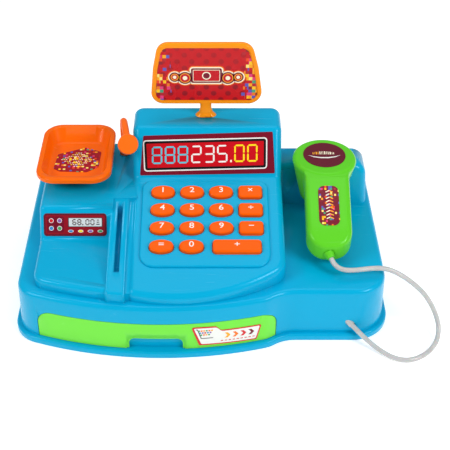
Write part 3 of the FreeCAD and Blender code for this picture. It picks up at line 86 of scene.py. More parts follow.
class Wiring:
    """A node tree that is being wired up."""

    def __init__(self, tree: bpy.types.NodeTree) -> None:
        """Start on an emptied tree."""
        self.tree = tree
        tree.nodes.clear()

    def add(self, kind: str, feeds: dict | None = None, **settings: object) -> bpy.types.Node:
        """Add a node.

        Args:
            kind: The node's type name.
            feeds: What goes into its sockets, by socket name or index: a value or another socket.
            settings: The node's own properties.

        Returns:
            The new node.
        """
        node = self.tree.nodes.new(kind)
        for name, value in settings.items():
            setattr(node, name, value)
        for name, value in (feeds or {}).items():
            self.feed(node.inputs[name], value)
        return node

    def feed(self, socket: Socket, value: object) -> None:
        """Link a socket to another, or set its value.

        Args:
            socket: The socket that is fed.
            value: Another socket, or a plain value.
        """
        if isinstance(value, bpy.types.NodeSocket):
            self.tree.links.new(value, socket)
        else:
            socket.default_value = value

    def compute(self, operation: str, *values: object) -> Socket:
        """Add a Math node and return its result."""
        return self.add("ShaderNodeMath", dict(enumerate(values)), operation=operation).outputs[0]

    def move(self, operation: str, *values: object) -> Socket:
        """Add a Vector Math node and return its vector."""
        return self.add("ShaderNodeVectorMath", dict(enumerate(values)), operation=operation).outputs[0]

    def mix(self, share: object, low: object, high: object) -> Socket:
        """Mix two colours.

        Args:
            share: The share of the second colour.
            low: The first colour, or a socket that gives it.
            high: The second colour, or a socket that gives it.

        Returns:
            The mixed colour.
        """
        node = self.add("ShaderNodeMix", data_type="RGBA")
        self.feed(node.inputs["Factor"], share)
        self.feed(node.inputs["A"], low)
        self.feed(node.inputs["B"], high)
        return node.outputs["Result"]

    def ease(self, value: object, low: float, high: float) -> Socket:
        """Return 0 below low and 1 above high, with a smooth step between."""
        feeds = {"Value": value, "From Min": low, "From Max": high}
        return self.add("ShaderNodeMapRange", feeds, interpolation_type="SMOOTHSTEP").outputs["Result"]

    def place(self) -> Socket:
        """Return the point's place in the piece's own axes."""
        return self.add("ShaderNodeTexCoord").outputs["Object"]

    def noise(self, scale: float, detail: float = 2.0, vector: Socket | None = None) -> Socket:
        """Return a noise value over the piece."""
        feeds = {"Vector": vector or self.place(), "Scale": scale, "Detail": detail}
        return self.add("ShaderNodeTexNoise", feeds).outputs["Fac"]


def shared_group(name: str, inputs: Sequence[tuple[str, str, object]], outputs: Sequence[tuple[str, str]],
                 wire: Callable[[Wiring, bpy.types.Node, bpy.types.Node], None]) -> bpy.types.NodeTree:
    """Build a shader node group once and return it from then on.

    Args:
        name: The group's name.
        inputs: The name, socket type and default value of each input.
        outputs: The name and socket type of each output.
        wire: Wires the inside, given the wiring, the group's input node and its output node.

    Returns:
        The group's tree.
    """
    if name in bpy.data.node_groups:
        return bpy.data.node_groups[name]
    tree = bpy.data.node_groups.new(name, "ShaderNodeTree")
    for label, kind, value in inputs:
        tree.interface.new_socket(label, in_out="INPUT", socket_type=kind).default_value = value
    for label, kind in outputs:
        tree.interface.new_socket(label, in_out="OUTPUT", socket_type=kind)
    wiring = Wiring(tree)
    wire(wiring, wiring.add("NodeGroupInput"), wiring.add("NodeGroupOutput"))
    return tree


FLOAT, COLOUR = "NodeSocketFloat", "NodeSocketColor"


def moulded_skin() -> bpy.types.NodeTree:
    """Make the group for a moulded surface: flow marks, a fine grain and light scuffs.

    Returns:
        The group's tree.
    """
    def wire(w: Wiring, given: bpy.types.Node, out: bpy.types.Node) -> None:
        """Wire the inside of the group.

        Args:
            w: The wiring.
            given: The group's input node.
            out: The group's output node.
        """
        flow = w.noise(16.0, 3.0)
        grain = w.noise(1400.0, 1.0)
        stretched = w.move("MULTIPLY", w.place(), (35.0, 420.0, 60.0))
        scuff = w.ease(w.noise(1.0, 4.0, stretched), 0.62, 0.74)
        brighter = w.compute("MULTIPLY", w.compute("SUBTRACT", flow, 0.5), given.outputs["Variation"])
        toned = w.add("ShaderNodeHueSaturation", {
            "Color": given.outputs["Colour"], "Value": w.compute("ADD", brighter, 1.0)})
        worn = w.mix(w.compute("MULTIPLY", scuff, w.compute("MULTIPLY", given.outputs["Scuffs"], 0.15)),
                     toned.outputs["Color"], (0.8, 0.8, 0.8, 1.0))
        w.feed(out.inputs["Colour"], worn)
        fine = w.compute("MULTIPLY", w.compute("SUBTRACT", grain, 0.5), 0.1)
        rough = w.compute("ADD", w.compute("ADD", given.outputs["Roughness"], fine),
                          w.compute("MULTIPLY", scuff, given.outputs["Scuffs"]))
        w.feed(out.inputs["Roughness"], w.compute("ADD", rough, w.compute("MULTIPLY", flow, 0.04)))
        wave = w.compute("MULTIPLY", flow, given.outputs["Wave"])
        grit = w.compute("MULTIPLY", grain, given.outputs["Grain"])
        w.feed(out.inputs["Height"], w.compute("ADD", wave, grit))

    return shared_group("moulded_skin", [
        ("Colour", COLOUR, (0.5, 0.5, 0.5, 1.0)), ("Variation", FLOAT, 0.06), ("Roughness", FLOAT, 0.25),
        ("Scuffs", FLOAT, 0.08), ("Wave", FLOAT, 1.0), ("Grain", FLOAT, 0.02),
    ], [("Colour", COLOUR), ("Roughness", FLOAT), ("Height", FLOAT)], wire)


TILE_TONES = (
    "FFC81E", "F04614", "FFE678", "B41E28", "F07814", "5A5AB4", "E63C78", "46A078", "FFAA14", "8C1423")
SECOND_PICK = (7.3, 2.1, 5.7)


def tile_mosaic() -> bpy.types.NodeTree:
    """Make the group for small square tiles of mixed colours, some of them left out.

    Returns:
        The group's tree.
    """
    def wire(w: Wiring, given: bpy.types.Node, out: bpy.types.Node) -> None:
        """Wire the inside of the group.

        Args:
            w: The wiring.
            given: The group's input node.
            out: The group's output node.
        """
        scaled = w.add("ShaderNodeVectorMath", {0: w.place()}, operation="SCALE")
        w.feed(scaled.inputs["Scale"], w.compute("DIVIDE", 1.0, given.outputs["Cell"]))
        cell = w.move("FLOOR", scaled.outputs[0])
        flat = w.move("MULTIPLY", cell, given.outputs["Axes"])
        pick = w.add("ShaderNodeTexWhiteNoise", {"Vector": flat}).outputs["Value"]
        ramp = w.add("ShaderNodeValToRGB", {"Fac": pick})
        ramp.color_ramp.interpolation = "CONSTANT"
        stops = ramp.color_ramp.elements
        for i, tone in enumerate(TILE_TONES):
            place = i / len(TILE_TONES)
            stop = stops[i] if i < 2 else stops.new(place)
            stop.position = place
            stop.color = shade(tone)
        w.feed(out.inputs["Colour"], ramp.outputs["Color"])
        shifted = w.move("ADD", flat, SECOND_PICK)
        other = w.add("ShaderNodeTexWhiteNoise", {"Vector": shifted}).outputs["Value"]
        w.feed(out.inputs["Mask"], w.compute("LESS_THAN", other, given.outputs["Share"]))

    return shared_group("tile_mosaic", [
        ("Cell", FLOAT, 2.0 * MM), ("Share", FLOAT, 0.5), ("Axes", "NodeSocketVector", (1.0, 1.0, 1.0)),
    ], [("Colour", COLOUR), ("Mask", FLOAT)], wire)


def printed_film() -> bpy.types.NodeTree:
    """Make the group for a printed film: a fine print screen, uneven gloss and a slight ripple.

    Returns:
        The group's tree.
    """
    def wire(w: Wiring, given: bpy.types.Node, out: bpy.types.Node) -> None:
        """Wire the inside of the group.

        Args:
            w: The wiring.
            given: The group's input node.
            out: The group's output node.
        """
        screen = w.noise(2600.0, 0.0)
        patch = w.noise(60.0, 2.0)
        change = w.compute("MULTIPLY", w.compute("SUBTRACT", screen, 0.5), given.outputs["Screen"])
        toned = w.add("ShaderNodeHueSaturation", {
            "Color": given.outputs["Colour"], "Value": w.compute("ADD", change, 1.0)})
        w.feed(out.inputs["Colour"], toned.outputs["Color"])
        gloss = w.compute("MULTIPLY", w.compute("SUBTRACT", patch, 0.5), 0.12)
        w.feed(out.inputs["Roughness"], w.compute("ADD", given.outputs["Roughness"], gloss))
        w.feed(out.inputs["Height"], patch)

    return shared_group("printed_film", [
        ("Colour", COLOUR, (0.5, 0.5, 0.5, 1.0)), ("Roughness", FLOAT, 0.3), ("Screen", FLOAT, 0.12),
    ], [("Colour", COLOUR), ("Roughness", FLOAT), ("Height", FLOAT)], wire)


@dataclass(frozen=True)
class Finish:
    """A finish: its name and its main colour."""

    name: str
    colour: str

    def material(self) -> bpy.types.Material:
        """Make the finish's material the first time it is asked for.

        Returns:
            The material.
        """
        found = bpy.data.materials.get(self.name)
        if found:
            return found
        made = bpy.data.materials.new(self.name)
        made.use_nodes = True
        made.diffuse_color = shade(self.colour)
        w = Wiring(made.node_tree)
        shader = w.add("ShaderNodeBsdfPrincipled")
        output = w.add("ShaderNodeOutputMaterial")
        w.feed(output.inputs["Surface"], shader.outputs[0])
        self.wire(w, shader)
        return made

    def wire(self, w: Wiring, shader: bpy.types.Node) -> None:
        """Wire the finish's own nodes into the shader."""
        raise NotImplementedError

    def bump(self, w: Wiring, shader: bpy.types.Node, height: Socket, distance: float) -> None:
        """Feed a height to the shader's normal."""
        node = w.add("ShaderNodeBump", {"Height": height, "Strength": 1.0, "Distance": distance})
        w.feed(shader.inputs["Normal"], node.outputs["Normal"])


@dataclass(frozen=True)
class MouldedPlastic(Finish):
    """Glossy injection-moulded plastic."""

    roughness: float = 0.2
    variation: float = 0.07
    scuffs: float = 0.07
    relief: float = 0.06 * MM
    sheen: float = 0.34
    own_tint: float = 0.7
    coat: float = 0.06
    depth: float = 0.0

    def wire(self, w: Wiring, shader: bpy.types.Node) -> None:
        """Wire the moulded skin into the shader, with a clear gloss over it.

        Args:
            w: The material's wiring.
            shader: Its Principled shader.
        """
        skin = w.add("ShaderNodeGroup", node_tree=moulded_skin())
        feeds = {"Colour": shade(self.colour), "Variation": self.variation, "Roughness": self.roughness,
                 "Scuffs": self.scuffs}
        for name, value in feeds.items():
            skin.inputs[name].default_value = value
        w.feed(shader.inputs["Base Color"], skin.outputs["Colour"])
        w.feed(shader.inputs["Roughness"], skin.outputs["Roughness"])
        shader.inputs["Coat Weight"].default_value = self.coat
        shader.inputs["Coat Roughness"].default_value = 0.08
        shader.inputs["IOR"].default_value = 1.49
        shader.inputs["Specular IOR Level"].default_value = self.sheen
        tint = [1.0 - self.own_tint * (1.0 - part) for part in shade(self.colour)]
        shader.inputs["Specular Tint"].default_value = tint
        if self.depth:
            shader.inputs["Subsurface Weight"].default_value = self.depth
            shader.inputs["Subsurface Scale"].default_value = 1.5 * MM
        self.bump(w, shader, skin.outputs["Height"], self.relief)


@dataclass(frozen=True)
class Ink(Finish):
    """One ink of a printed film."""

    roughness: float = 0.26
    screen: float = 0.1
    coat: float = 0.08

    def ground(self, w: Wiring) -> object:
        """Return the ink's colour, or a socket that gives it."""
        return shade(self.colour)

    def wire(self, w: Wiring, shader: bpy.types.Node) -> None:
        """Wire the printed film into the shader.

        Args:
            w: The material's wiring.
            shader: Its Principled shader.
        """
        film = w.add("ShaderNodeGroup", node_tree=printed_film())
        w.feed(film.inputs["Colour"], self.ground(w))
        film.inputs["Roughness"].default_value = self.roughness
        film.inputs["Screen"].default_value = self.screen
        w.feed(shader.inputs["Base Color"], film.outputs["Colour"])
        w.feed(shader.inputs["Roughness"], film.outputs["Roughness"])
        shader.inputs["Coat Weight"].default_value = self.coat
        shader.inputs["Coat Roughness"].default_value = 0.12
        shader.inputs["Specular IOR Level"].default_value = 0.25
        self.bump(w, shader, film.outputs["Height"], 0.02 * MM)


@dataclass(frozen=True)
class SignPrint(Ink):
    """The sign's ground: a red field with a dark lattice of dots, and tiles towards both ends."""

    centre: tuple[float, float, float] = (0.0, 0.0, 0.0)
    half_width: float = 40.0 * MM
    pitch: float = 11.8 * MM
    cell: float = 2.9 * MM
    fade: float = 24.0 * MM
    dark: str = "8C0014"

    def ground(self, w: Wiring) -> Socket:
        """Wire the lattice of dots and the tiles.

        Args:
            w: The material's wiring.

        Returns:
            The print's colour.
        """
        local = w.add("ShaderNodeSeparateXYZ", {0: w.move("SUBTRACT", w.place(), self.centre)})
        x, z = local.outputs["X"], local.outputs["Z"]
        across = w.compute("PINGPONG", w.compute("ADD", x, z), self.pitch / 2.0)
        along = w.compute("PINGPONG", w.compute("SUBTRACT", x, z), self.pitch / 2.0)
        squares = w.compute("ADD", w.compute("POWER", across, 2.0), w.compute("POWER", along, 2.0))
        reach = w.compute("SQRT", squares)
        dots = w.compute("SUBTRACT", 1.0, w.ease(reach, self.pitch * 0.2, self.pitch * 0.34))
        strength = w.compute("ADD", 0.45, w.compute("MULTIPLY", w.ease(z, self.fade, -self.fade), 0.5))
        field_colour = w.mix(w.compute("MULTIPLY", dots, strength), shade(self.colour), shade(self.dark))
        tiles = w.add("ShaderNodeGroup", {"Cell": self.cell, "Axes": (1.0, 0.0, 1.0)},
                      node_tree=tile_mosaic())
        far = w.compute("DIVIDE", w.compute("ABSOLUTE", x), self.half_width)
        w.feed(tiles.inputs["Share"], w.compute("MULTIPLY", w.ease(far, 0.6, 1.0), 0.85))
        return w.mix(tiles.outputs["Mask"], field_colour, tiles.outputs["Colour"])


@dataclass(frozen=True)
class TiledPrint(Ink):
    """A print with loose square tiles over its ground."""

    cell: float = 1.6 * MM
    share: float = 0.3
    axes: tuple[float, float, float] = (1.0, 1.0, 0.0)

    def ground(self, w: Wiring) -> Socket:
        """Wire the tiles over the ground.

        Args:
            w: The material's wiring.

        Returns:
            The print's colour.
        """
        tiles = w.add("ShaderNodeGroup", {"Cell": self.cell, "Axes": self.axes, "Share": self.share},
                      node_tree=tile_mosaic())
        return w.mix(tiles.outputs["Mask"], shade(self.colour), tiles.outputs["Colour"])


@dataclass(frozen=True)
class Vinyl(Finish):
    """Milky clear vinyl, as on a thin lead."""

    roughness: float = 0.3

    def wire(self, w: Wiring, shader: bpy.types.Node) -> None:
        """Wire a cloudy colour and a soft sheen.

        Args:
            w: The material's wiring.
            shader: Its Principled shader.
        """
        cloud = w.noise(220.0, 3.0)
        w.feed(shader.inputs["Base Color"], w.mix(cloud, shade("AFAFAD"), shade(self.colour)))
        uneven = w.compute("MULTIPLY", cloud, 0.14)
        w.feed(shader.inputs["Roughness"], w.compute("ADD", uneven, self.roughness - 0.07))
        shader.inputs["Coat Weight"].default_value = 0.2
        shader.inputs["Subsurface Weight"].default_value = 0.35
        shader.inputs["Subsurface Scale"].default_value = 1.2 * MM
        self.bump(w, shader, w.noise(700.0, 1.0), 0.02 * MM)


@dataclass(frozen=True)
class PlatedSteel(Finish):
    """Plated steel with fine turning marks."""

    def wire(self, w: Wiring, shader: bpy.types.Node) -> None:
        """Wire the marks into the colour and roughness.

        Args:
            w: The material's wiring.
            shader: Its Principled shader.
        """
        marks = w.noise(900.0, 3.0, w.move("MULTIPLY", w.place(), (1.0, 1.0, 6.0)))
        w.feed(shader.inputs["Base Color"], w.mix(marks, shade("9A9A98"), shade(self.colour)))
        w.feed(shader.inputs["Roughness"], w.compute("ADD", w.compute("MULTIPLY", marks, 0.2), 0.2))
        shader.inputs["Metallic"].default_value = 1.0
        self.bump(w, shader, marks, 0.01 * MM)


@dataclass(frozen=True)
class BoardLaminate(Finish):
    """A circuit board: solder mask with paler copper tracks under it."""

    pitch: float = 5.0 * MM
    track: float = 0.5 * MM

    def wire(self, w: Wiring, shader: bpy.types.Node) -> None:
        """Wire the tracks into the colour and relief.

        Args:
            w: The material's wiring.
            shader: Its Principled shader.
        """
        white, black = (1.0, 1.0, 1.0, 1.0), (0.0, 0.0, 0.0, 1.0)
        bricks = w.add("ShaderNodeTexBrick", {
            "Vector": w.place(), "Scale": 1.0, "Color1": white, "Color2": white, "Mortar": black,
            "Mortar Size": self.track, "Brick Width": self.pitch * 2.0, "Row Height": self.pitch})
        tracks = w.compute("SUBTRACT", 1.0, bricks.outputs["Fac"])
        w.feed(shader.inputs["Base Color"], w.mix(tracks, shade("3C8C46"), shade(self.colour)))
        uneven = w.compute("MULTIPLY", w.noise(300.0), 0.15)
        w.feed(shader.inputs["Roughness"], w.compute("ADD", uneven, 0.3))
        self.bump(w, shader, bricks.outputs["Fac"], 0.04 * MM)


@dataclass(frozen=True)
class SoftRubber(Finish):
    """Matt rubber with a dusty bloom."""

    def wire(self, w: Wiring, shader: bpy.types.Node) -> None:
        """Wire the bloom into the colour and roughness.

        Args:
            w: The material's wiring.
            shader: Its Principled shader.
        """
        bloom = w.noise(120.0, 4.0)
        w.feed(shader.inputs["Base Color"], w.mix(bloom, shade(self.colour), shade("B4B4B0")))
        w.feed(shader.inputs["Roughness"], w.compute("ADD", w.compute("MULTIPLY", bloom, 0.2), 0.6))
        self.bump(w, shader, w.noise(1800.0), 0.03 * MM)


@dataclass(frozen=True)
class CellSleeve(Finish):
    """A battery's shrink sleeve: dark, with a copper-coloured band at its nub end."""

    turned: bool = False
    band_from: tuple[float, float] = (12.0 * MM, 12.4 * MM)
    steel_from: tuple[float, float] = (24.4 * MM, 24.7 * MM)

    def wire(self, w: Wiring, shader: bpy.types.Node) -> None:
        """Wire the band along X.

        Args:
            w: The material's wiring.
            shader: Its Principled shader.
        """
        x = w.add("ShaderNodeSeparateXYZ", {0: w.place()}).outputs["X"]
        towards = w.compute("MULTIPLY", x, -1.0 if self.turned else 1.0)
        band = w.ease(towards, *self.band_from)
        steel = w.ease(towards, *self.steel_from)
        sleeve = w.mix(band, shade(self.colour), shade("C8783C"))
        w.feed(shader.inputs["Base Color"], w.mix(steel, sleeve, shade("C8C8C6")))
        w.feed(shader.inputs["Metallic"], w.compute("MAXIMUM", w.compute("MULTIPLY", band, 0.6), steel))
        uneven = w.compute("MULTIPLY", w.noise(400.0), 0.15)
        w.feed(shader.inputs["Roughness"], w.compute("ADD", uneven, 0.22))


@dataclass(frozen=True)
class TintedWindow(Finish):
    """A clear tinted window."""

    def wire(self, w: Wiring, shader: bpy.types.Node) -> None:
        """Set the tint and let light through.

        Args:
            w: The material's wiring.
            shader: Its Principled shader.
        """
        streak = w.noise(200.0, 2.0)
        w.feed(shader.inputs["Base Color"], w.mix(streak, shade(self.colour), shade("C81E28")))
        w.feed(shader.inputs["Roughness"], w.compute("ADD", w.compute("MULTIPLY", streak, 0.08), 0.04))
        shader.inputs["Transmission Weight"].default_value = 0.7
        shader.inputs["IOR"].default_value = 1.49


class Palette(Enum):
    """The finishes of the toy, by what they are on."""

    HOUSING = MouldedPlastic("housing_blue", "00A8D4")
    DRAWER = MouldedPlastic("drawer_green", "78E646")
    SCANNER = MouldedPlastic("scanner_green", "5FCD28")
    KEYS = MouldedPlastic("key_orange", "FF5F00", roughness=0.3, coat=0.05, sheen=0.22)
    PAN = MouldedPlastic("pan_orange", "FA6900", depth=0.1)
    SIGN_FRAME = MouldedPlastic("sign_orange", "FF9614", depth=0.1)
    MICROPHONE = MouldedPlastic("microphone_orange", "FF6E14", roughness=0.3)
    SPEAKER = MouldedPlastic("speaker_black", "1E1E1E", roughness=0.5, coat=0.0)
    MAT = SoftRubber("mat_rubber", "8C8E8C")
    BOARD = BoardLaminate("board_laminate", "14501E")
    STEEL = PlatedSteel("plated_steel", "C8C8C6")
    CELL_FRONT = CellSleeve("cell_sleeve_front", "1E1E22")
    CELL_REAR = CellSleeve("cell_sleeve_rear", "1E1E22", turned=True)
    CORD = Vinyl("lead_vinyl", "CDCDCB")
    WINDOW = TintedWindow("window_tint", "961414")
    LEGEND = Ink("legend_white", "F5F0EB")
    MAROON = Ink("ink_maroon", "780523")
    DEEP_MAROON = Ink("ink_deep_maroon", "641428")
    WHITE = Ink("ink_white", "F0F0EB")
    BLACK = Ink("ink_black", "0F0A0C")
    CRIMSON = Ink("ink_crimson", "960A1E")
    RED = Ink("ink_red", "C80014")
    BRIGHT_RED = Ink("ink_bright_red", "D71E28")
    CYAN = Ink("ink_cyan", "5AC3D7")
    YELLOW = Ink("ink_yellow", "FFE11E")
    CREAM = Ink("ink_cream", "FFF5D7")
    AMBER = Ink("ink_amber", "FFAF28")
    ORANGE = Ink("ink_orange", "F57814")
    GREEN = Ink("ink_green", "46A05A")
    BLUE = Ink("ink_blue", "3C8CC8")
    VIOLET = Ink("ink_violet", "8C5AAA")
    GREY = Ink("ink_grey", "3C3C41")
    SCREEN = Ink("ink_screen", "D7DCDC")
    SCREEN_INK = Ink("ink_screen_digits", "3C0A0F")
    PAN_PRINT = TiledPrint("pan_ground", "A00A1E", share=0.3, cell=1.9 * MM)
    GRIP_PRINT = TiledPrint("grip_ground", "780F28", share=0.3, cell=1.5 * MM)


# ---------------------------------------------------------------- mesh helpers

CORNER_EDGES = 5

def as_piece(name: str, mesh: bmesh.types.BMesh, finishes: Sequence[Palette | Finish],
             body: str | None, angle: float = 35.0) -> bpy.types.Object:
    """Turn a bmesh into a finished piece, and let it ride on a body.

    Args:
        name: The piece's name.
        mesh: The mesh, which is freed.
        finishes: The finishes of its material slots, in order.
        body: The body it moves with, or None to leave it unattached.
        angle: Edges sharper than this many degrees stay crisp.

    Returns:
        The new object.
    """
    data = bpy.data.meshes.new(name)
    mesh.to_mesh(data)
    mesh.free()
    for finish in finishes:
        data.materials.append((finish.value if isinstance(finish, Palette) else finish).material())
    data.polygons.foreach_set("use_smooth", [True] * len(data.polygons))
    data.set_sharp_from_angle(angle=math.radians(angle))
    piece = bpy.data.objects.new(name, data)
    bpy.context.scene.collection.objects.link(piece)
    if body is not None:
        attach(piece, body)
    return piece


def absorb(target: bmesh.types.BMesh, part: bmesh.types.BMesh, index: int) -> None:
    """Add a part to a mesh.

    Args:
        target: The mesh that grows.
        part: The part, which is freed.
        index: The material index that its faces get.
    """
    for face in part.faces:
        face.material_index = index
    carrier = bpy.data.meshes.new("carrier")
    part.to_mesh(carrier)
    part.free()
    target.from_mesh(carrier)
    bpy.data.meshes.remove(carrier)


def raise_flat(flat: bmesh.types.BMesh, low: float, high: float) -> None:
    """Turn flat faces at z = 0 into closed prisms.

    Args:
        flat: The mesh with the faces.
        low: The height of the prisms' feet.
        high: The height of their tops.
    """
    bmesh.ops.translate(flat, vec=(0.0, 0.0, low), verts=flat.verts)
    grown = bmesh.ops.extrude_face_region(flat, geom=flat.faces[:], use_keep_orig=True)
    moved = [g for g in grown["geom"] if isinstance(g, bmesh.types.BMVert)]
    bmesh.ops.translate(flat, vec=(0.0, 0.0, high - low), verts=moved)
    bmesh.ops.recalc_face_normals(flat, faces=flat.faces)


def rounded_face(corners: Iterable[tuple[float, float]], radius: float) -> bmesh.types.BMesh:
    """Return a flat face through corners, each rounded by a radius.

    Args:
        corners: The corners, in metres, anticlockwise.
        radius: The rounding, or 0 for crisp corners.

    Returns:
        A bmesh that holds the face.
    """
    flat = bmesh.new()
    points = [flat.verts.new((x, y, 0.0)) for x, y in corners]
    flat.faces.new(points)
    if radius > 0.0:
        bmesh.ops.bevel(flat, geom=points, offset=radius, offset_type="OFFSET", affect="VERTICES",
                        segments=CORNER_EDGES, profile=0.5, material=-1)
    return flat


@dataclass(frozen=True)
class Ground:
    """A flat ground that artwork lies on: a point of it, and its lean about X in degrees."""

    origin: Vector
    lean: float

    def matrix(self) -> Matrix:
        """Return the matrix from the ground's own plane to the frame."""
        return Matrix.Translation(self.origin) @ Matrix.Rotation(math.radians(self.lean), 4, "X")

    @classmethod
    def on_sheet(cls, node: str, lean: float, thickness: float) -> "Ground":
        """Return the outer face of a thin CAD sheet, centred on its middle.

        Args:
            node: The sheet's CAD node.
            lean: The sheet's lean about X, in degrees.
            thickness: The sheet's thickness.

        Returns:
            The ground.
        """
        low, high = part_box(node)
        outwards = Matrix.Rotation(math.radians(lean), 3, "X") @ Vector((0.0, 0.0, thickness / 2.0))
        return cls((low + high) / 2.0 + outwards, lean)


SEGMENTS = {
    "0": "abcdef", "1": "bc", "2": "abged", "3": "abgcd", "4": "fgbc",
    "5": "afgcd", "6": "afgedc", "7": "abc", "8": "abcdefg", "9": "abfgcd",
}


class Artwork:
    """Thin printed shapes on a ground, gathered into one piece."""

    def __init__(self, layer: float = 0.04 * MM) -> None:
        """Start with no shapes.

        Args:
            layer: How much each level stands above the one below.
        """
        self.layer = layer
        self.mesh = bmesh.new()
        self.inks: list[Palette] = []

    def lay(self, flat: bmesh.types.BMesh, ink: Palette, level: int, matrix: Matrix | None = None) -> None:
        """Raise a flat shape to its level and add it in an ink.

        Args:
            flat: The shape, which is freed.
            ink: The ink.
            level: The level it stands at.
            matrix: Its place on the ground, or None to leave it where it is.
        """
        if ink not in self.inks:
            self.inks.append(ink)
        if matrix is not None:
            bmesh.ops.transform(flat, matrix=matrix, verts=flat.verts)
        raise_flat(flat, -self.layer, self.layer * level)
        absorb(self.mesh, flat, self.inks.index(ink))

    def plate(self, corners: Iterable[tuple[float, float]], radius: float, ink: Palette,
              level: int = 1) -> None:
        """Add a rounded plate, its corners and radius in millimetres."""
        self.lay(rounded_face([(x * MM, y * MM) for x, y in corners], radius * MM), ink, level)

    def block(self, x: float, y: float, width: float, height: float, radius: float, ink: Palette,
              level: int = 1) -> None:
        """Add a rounded rectangle about a middle point, in millimetres."""
        a, b = width / 2.0, height / 2.0
        self.plate([(x - a, y - b), (x + a, y - b), (x + a, y + b), (x - a, y + b)], radius, ink, level)

    def disc(self, x: float, y: float, radius: float, ink: Palette, level: int = 1, stretch: float = 1.0,
             segments: int = 24) -> None:
        """Add a disc or an ellipse.

        Args:
            x: The middle's x, in millimetres.
            y: The middle's y.
            radius: The radius.
            ink: The ink.
            level: The level it stands at.
            stretch: How much wider than high it is.
            segments: The number of edges round it.
        """
        flat = bmesh.new()
        bmesh.ops.create_circle(flat, cap_ends=True, segments=segments, radius=radius * MM)
        bmesh.ops.scale(flat, vec=(stretch, 1.0, 1.0), verts=flat.verts)
        self.lay(flat, ink, level, Matrix.Translation((x * MM, y * MM, 0.0)))

    def ring(self, x: float, y: float, radius: float, width: float, ink: Palette, level: int = 1) -> None:
        """Add a ring.

        Args:
            x: The middle's x, in millimetres.
            y: The middle's y.
            radius: The outer radius.
            width: The ring's width.
            ink: The ink.
            level: The level it stands at.
        """
        flat = bmesh.new()
        bmesh.ops.create_circle(flat, cap_ends=True, segments=24, radius=radius * MM)
        middle = flat.faces[:]
        bmesh.ops.inset_region(flat, faces=middle, thickness=width * MM, use_even_offset=True)
        bmesh.ops.delete(flat, geom=middle, context="FACES")
        self.lay(flat, ink, level, Matrix.Translation((x * MM, y * MM, 0.0)))

    def bar(self, start: tuple[float, float], end: tuple[float, float], width: float, ink: Palette,
            level: int = 1, pointed: bool = True) -> None:
        """Add a straight bar.

        Args:
            start: Where it starts, in millimetres.
            end: Where it ends.
            width: The bar's width.
            ink: The ink.
            level: The level it stands at.
            pointed: Whether its ends are pointed, not square.
        """
        a, b = Vector(start), Vector(end)
        ahead = (b - a).normalized()
        side = Vector((-ahead.y, ahead.x)) * (width / 2.0)
        tip = ahead * (width / 2.0)
        if pointed:
            corners = [a, a + tip - side, b - tip - side, b, b - tip + side, a + tip + side]
        else:
            corners = [a - side, b - side, b + side, a + side]
        self.plate([tuple(c) for c in corners], 0.0, ink, level)

    def digit(self, sign: str, x: float, y: float, width: float, height: float, stroke: float, ink: Palette,
              level: int, shear: float = 0.0) -> None:
        """Add a seven-bar digit, or a point.

        Args:
            sign: The digit, or "." for a point.
            x: The left side, in millimetres.
            y: The foot, in millimetres.
            width: The digit's width.
            height: The digit's height.
            stroke: The bars' width.
            ink: The ink.
            level: The level it stands at.
            shear: The rise to the right per unit, for a line that climbs.
        """
        def at(u: float, v: float) -> tuple[float, float]:
            """Return a point of the sign on the ground."""
            return x + u, y + v + shear * u

        if sign == ".":
            tall = stroke * 1.4
            self.plate([at(0, 0), at(stroke, 0), at(stroke, tall), at(0, tall)], 0.0, ink, level)
            return
        half, gap, low = height / 2.0, stroke * 0.16, stroke / 2.0
        left, right, top, foot = low, width - low, height - low, low
        lines = {
            "a": ((left, top), (right, top)),
            "b": ((right, top), (right, half)),
            "c": ((right, half), (right, foot)),
            "d": ((left, foot), (right, foot)),
            "e": ((left, half), (left, foot)),
            "f": ((left, top), (left, half)),
            "g": ((left, half), (right, half)),
        }
        for key in SEGMENTS[sign]:
            (u0, v0), (u1, v1) = lines[key]
            run = math.hypot(u1 - u0, v1 - v0)
            du, dv = (u1 - u0) / run * gap, (v1 - v0) / run * gap
            self.bar(at(u0 + du, v0 + dv), at(u1 - du, v1 - dv), stroke, ink, level)

    def finish(self, name: str, ground: Ground | None, body: str, slot: str) -> bpy.types.Object:
        """Place the artwork on its ground and make it a piece.

        Args:
            name: The piece's name.
            ground: The ground, or None when the shapes are already in the frame.
            body: The body it moves with.
            slot: Not used.

        Returns:
            The new object.
        """
        if ground is not None:
            bmesh.ops.transform(self.mesh, matrix=ground.matrix(), verts=self.mesh.verts)
        return as_piece(name, self.mesh, self.inks, body)


def glyph(sign: str, size: float, boldness: float) -> bmesh.types.BMesh:
    """Return a character as a flat mesh, centred on the origin.

    Args:
        sign: The character.
        size: The font size.
        boldness: How far the strokes are widened.

    Returns:
        A bmesh of the character.
    """
    text = bpy.data.curves.new("glyph", "FONT")
    text.body = sign
    text.size = size
    text.offset = boldness
    text.resolution_u = 4
    text.fill_mode = "FRONT"
    holder = bpy.data.objects.new("glyph", text)
    mesh = bpy.data.meshes.new_from_object(holder)
    flat = bmesh.new()
    flat.from_mesh(mesh)
    bpy.data.objects.remove(holder)
    bpy.data.curves.remove(text)
    bpy.data.meshes.remove(mesh)
    bmesh.ops.remove_doubles(flat, verts=flat.verts, dist=1e-7)
    xs, ys = [v.co.x for v in flat.verts], [v.co.y for v in flat.verts]
    middle = Vector(((min(xs) + max(xs)) / 2.0, (min(ys) + max(ys)) / 2.0, 0.0))
    bmesh.ops.translate(flat, vec=-middle, verts=flat.verts)
    return flat


